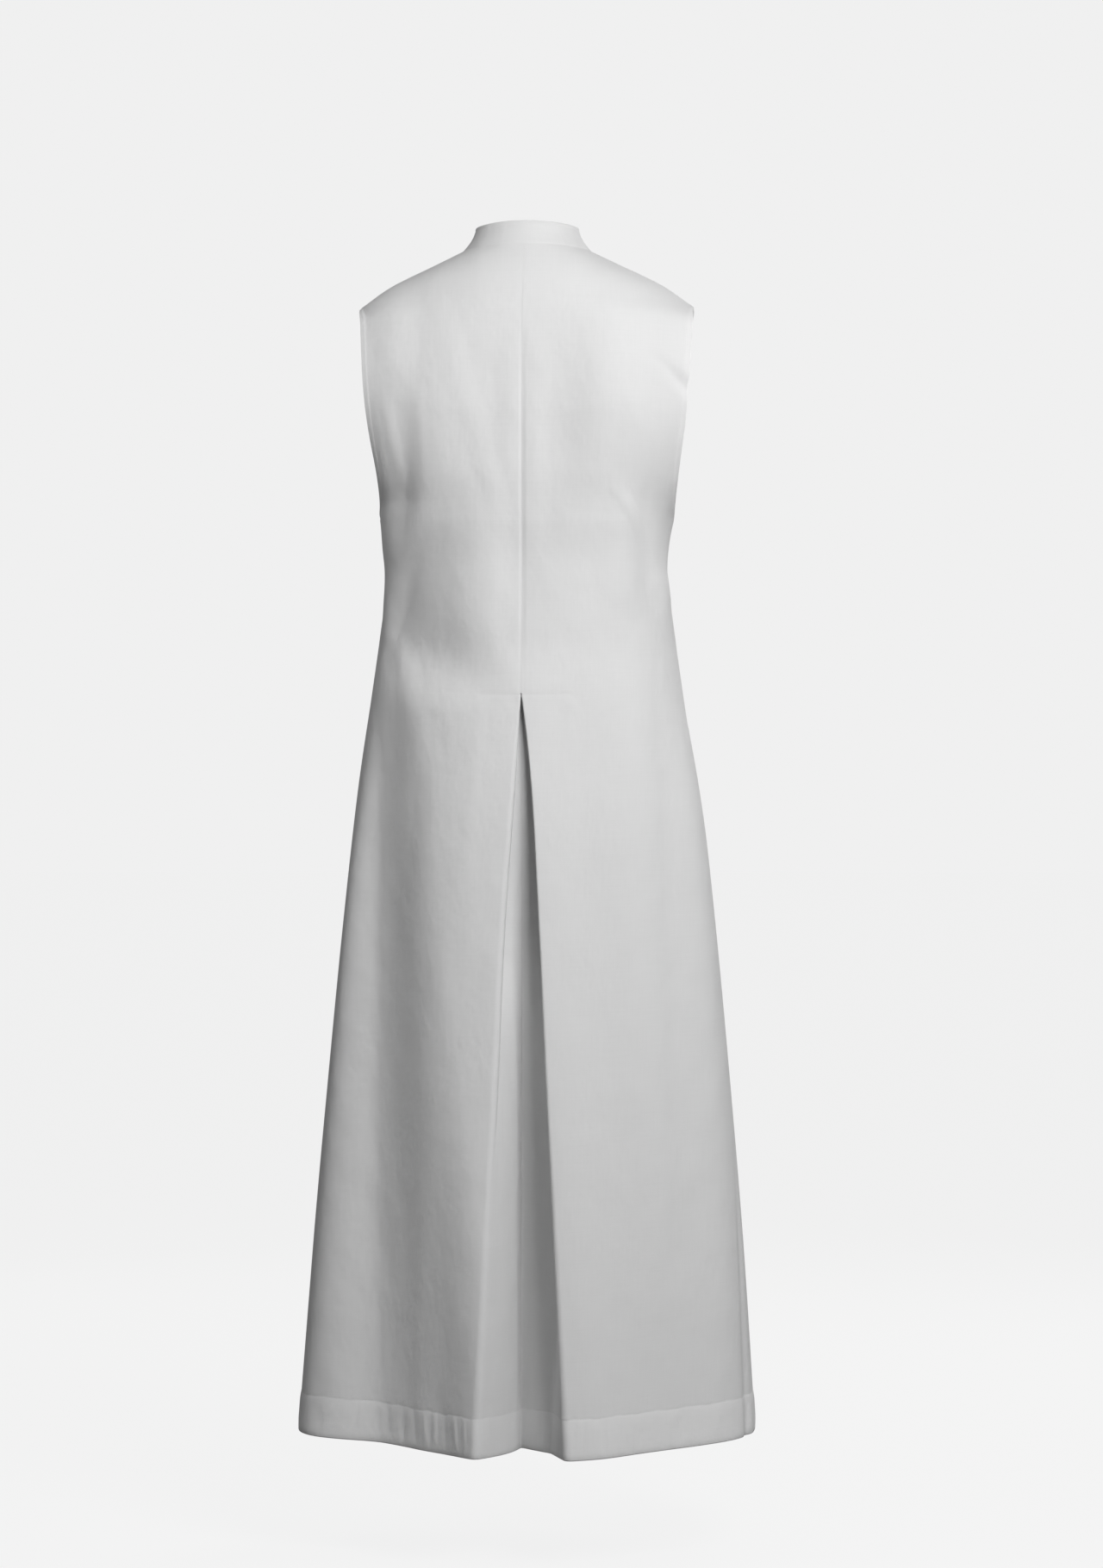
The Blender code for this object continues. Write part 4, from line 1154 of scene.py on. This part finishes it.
def cloth_material():
    """White plain-woven cloth: fine threads, faint slubs and the soft unevenness of worn cloth."""
    material, shader = new_material(
        "white_cloth", Roughness=0.88, Specular_IOR_Level=0.2, Sheen_Weight=0.06, Sheen_Roughness=0.5
    )
    tree = material.node_tree
    cloth_map = add_node(tree, "UVMap")
    cloth_map.uv_map = "cloth"
    place = cloth_map.outputs[0]

    warp = drawn_out_noise(tree, place, WARP_SLUBS, SLUB_DETAIL)
    weft = drawn_out_noise(tree, place, WEFT_SLUBS, SLUB_DETAIL)
    shade = add_node(
        tree,
        "MapRange",
        Value=add_math(tree, "ADD", warp, weft),
        From_Min=SLUB_SPAN[0],
        From_Max=SLUB_SPAN[1],
        To_Min=CLOTH_TONE - SLUB_TONE,
        To_Max=CLOTH_TONE + SLUB_TONE,
    )
    layers = add_node(tree, "Attribute")
    layers.attribute_name = "layers"
    doubled = add_math(tree, "MULTIPLY", layers.outputs["Fac"], DOUBLED_TONE)
    tone = add_math(tree, "ADD", shade.outputs[0], doubled)

    weave = tree.nodes.new("ShaderNodeGroup")
    weave.node_tree = plain_weave()
    height = set_inputs(tree, weave, Place=place).outputs["Height"]
    fine = add_node(tree, "Bump", Strength=1.0, Distance=WEAVE_DEPTH, Height=height)
    crumple = drawn_out_noise(tree, place, CRUMPLE, CRUMPLE_DETAIL)
    normal = fine.outputs["Normal"]
    soft = add_node(tree, "Bump", Strength=1.0, Distance=CRUMPLE_DEPTH, Height=crumple, Normal=normal)
    set_inputs(tree, shader, Base_Color=tone, Normal=soft.outputs["Normal"])
    return material


# The camera and the studio
CAMERA_DISTANCE = 5.2
CAMERA_HEIGHT = -0.62
CAMERA_YAW = math.radians(3.0)
CAMERA_ASIDE = 0.028
PICTURE_HEIGHT = 1.820
SENSOR = 36.0
FLOOR = -1.50
FLOOR_RADIUS = 40.0
FLOOR_TONE = 0.22
FLOOR_SHADE = 0.06
PALE = 0.871
PALE_FLOOR = 0.859
AMBIENT = 0.15
LIGHTS_AIM = Vector((0.0, 0.0, -0.65))
# name, degrees to the picture's right, height above the aim, distance, size, power
LIGHTS = [
    ("key", 24.0, 1.080, 2.04, 0.9, 40.0),
    ("shoulder fill", -68.0, 1.02, 0.95, 0.5, 1.6),
    ("front key", 150.0, 1.20, 2.60, 1.2, 32.0),
    ("front fill", -150.0, 0.40, 3.00, 1.6, 8.0),
]

TOWARDS_CAMERA = Vector((-math.sin(CAMERA_YAW), math.cos(CAMERA_YAW), 0.0))
PICTURE_RIGHT = Vector((-math.cos(CAMERA_YAW), -math.sin(CAMERA_YAW), 0.0))


def grey(tone):
    """A colour without hue."""
    return (tone, tone, tone, 1.0)


def make_camera():
    """A level camera behind the garment, a little to its right."""
    camera = bpy.data.cameras.new("camera")
    camera.sensor_width = SENSOR
    camera.lens = SENSOR * CAMERA_DISTANCE / PICTURE_HEIGHT
    thing = new_object("camera", camera)
    thing.location = TOWARDS_CAMERA * CAMERA_DISTANCE + PICTURE_RIGHT * CAMERA_ASIDE
    thing.location.z = CAMERA_HEIGHT
    thing.rotation_euler = (math.pi / 2.0, 0.0, math.pi + CAMERA_YAW)
    bpy.context.scene.camera = thing


def soft_light(name, aside, height, distance, size, power):
    """A square soft light, so many degrees to the picture's right, aimed at the garment."""
    light = bpy.data.lights.new(name, "AREA")
    light.shape = "SQUARE"
    light.size = size
    light.energy = power
    thing = new_object(name, light)
    turn = math.radians(aside)
    away = TOWARDS_CAMERA * math.cos(turn) + PICTURE_RIGHT * math.sin(turn)
    thing.location = LIGHTS_AIM + away * distance + Vector((0.0, 0.0, height))
    thing.rotation_euler = (thing.location - LIGHTS_AIM).to_track_quat("Z", "Y").to_euler()
    thing.visible_camera = False


def seen_and_lit(tree, output, lit, seen):
    """Shows one shader to the camera and another to the light that bounces."""
    path = add_node(tree, "LightPath")
    mix = add_node(tree, "MixShader", Fac=path.outputs["Is Camera Ray"])
    tree.links.new(lit, mix.inputs[1])
    tree.links.new(seen, mix.inputs[2])
    tree.links.new(mix.outputs["Shader"], tree.nodes[output].inputs["Surface"])


def make_studio():
    """A pale floor, pale surroundings and plain soft light."""
    scene = bpy.context.scene
    scene.world = bpy.data.worlds.new("studio")
    scene.world.use_nodes = True
    tree = scene.world.node_tree
    lit = set_inputs(tree, tree.nodes["Background"], Color=grey(1.0), Strength=AMBIENT)
    seen = add_node(tree, "Background", Color=grey(PALE))
    seen_and_lit(tree, "World Output", lit.outputs[0], seen.outputs[0])

    bpy.ops.mesh.primitive_circle_add(
        vertices=96, radius=FLOOR_RADIUS, fill_type="NGON", location=(0.0, 0.0, FLOOR)
    )
    floor = bpy.context.object
    floor.name = "floor"
    material, shader = new_material(
        "pale_floor",
        Base_Color=grey(FLOOR_SHADE),
        Roughness=1.0,
        Specular_IOR_Level=0.0,
        Emission_Color=grey(1.0),
        Emission_Strength=PALE_FLOOR,
    )
    dull = add_node(material.node_tree, "BsdfDiffuse", Color=grey(FLOOR_TONE))
    seen_and_lit(material.node_tree, "Material Output", dull.outputs[0], shader.outputs[0])
    floor.data.materials.append(material)
    for light in LIGHTS:
        soft_light(*light)
    scene.view_settings.view_transform = "Standard"
    scene.view_settings.look = "None"


def main():
    """The camera, the studio, and every piece of the cassock."""
    make_camera()
    make_studio()
    cloth = cloth_material()
    plastic, _ = new_material("button_plastic", Base_Color=BUTTON_COLOUR, Roughness=0.28)
    thread, _ = new_material("sewing_thread", Base_Color=grey(THREAD_TONE), Roughness=0.7)
    panels = {piece: make_panel(piece, cloth) for piece in PANELS}
    make_stitching(panels, make_collar(cloth), thread)
    make_buttons(panels["front_left"], plastic, thread)


main()
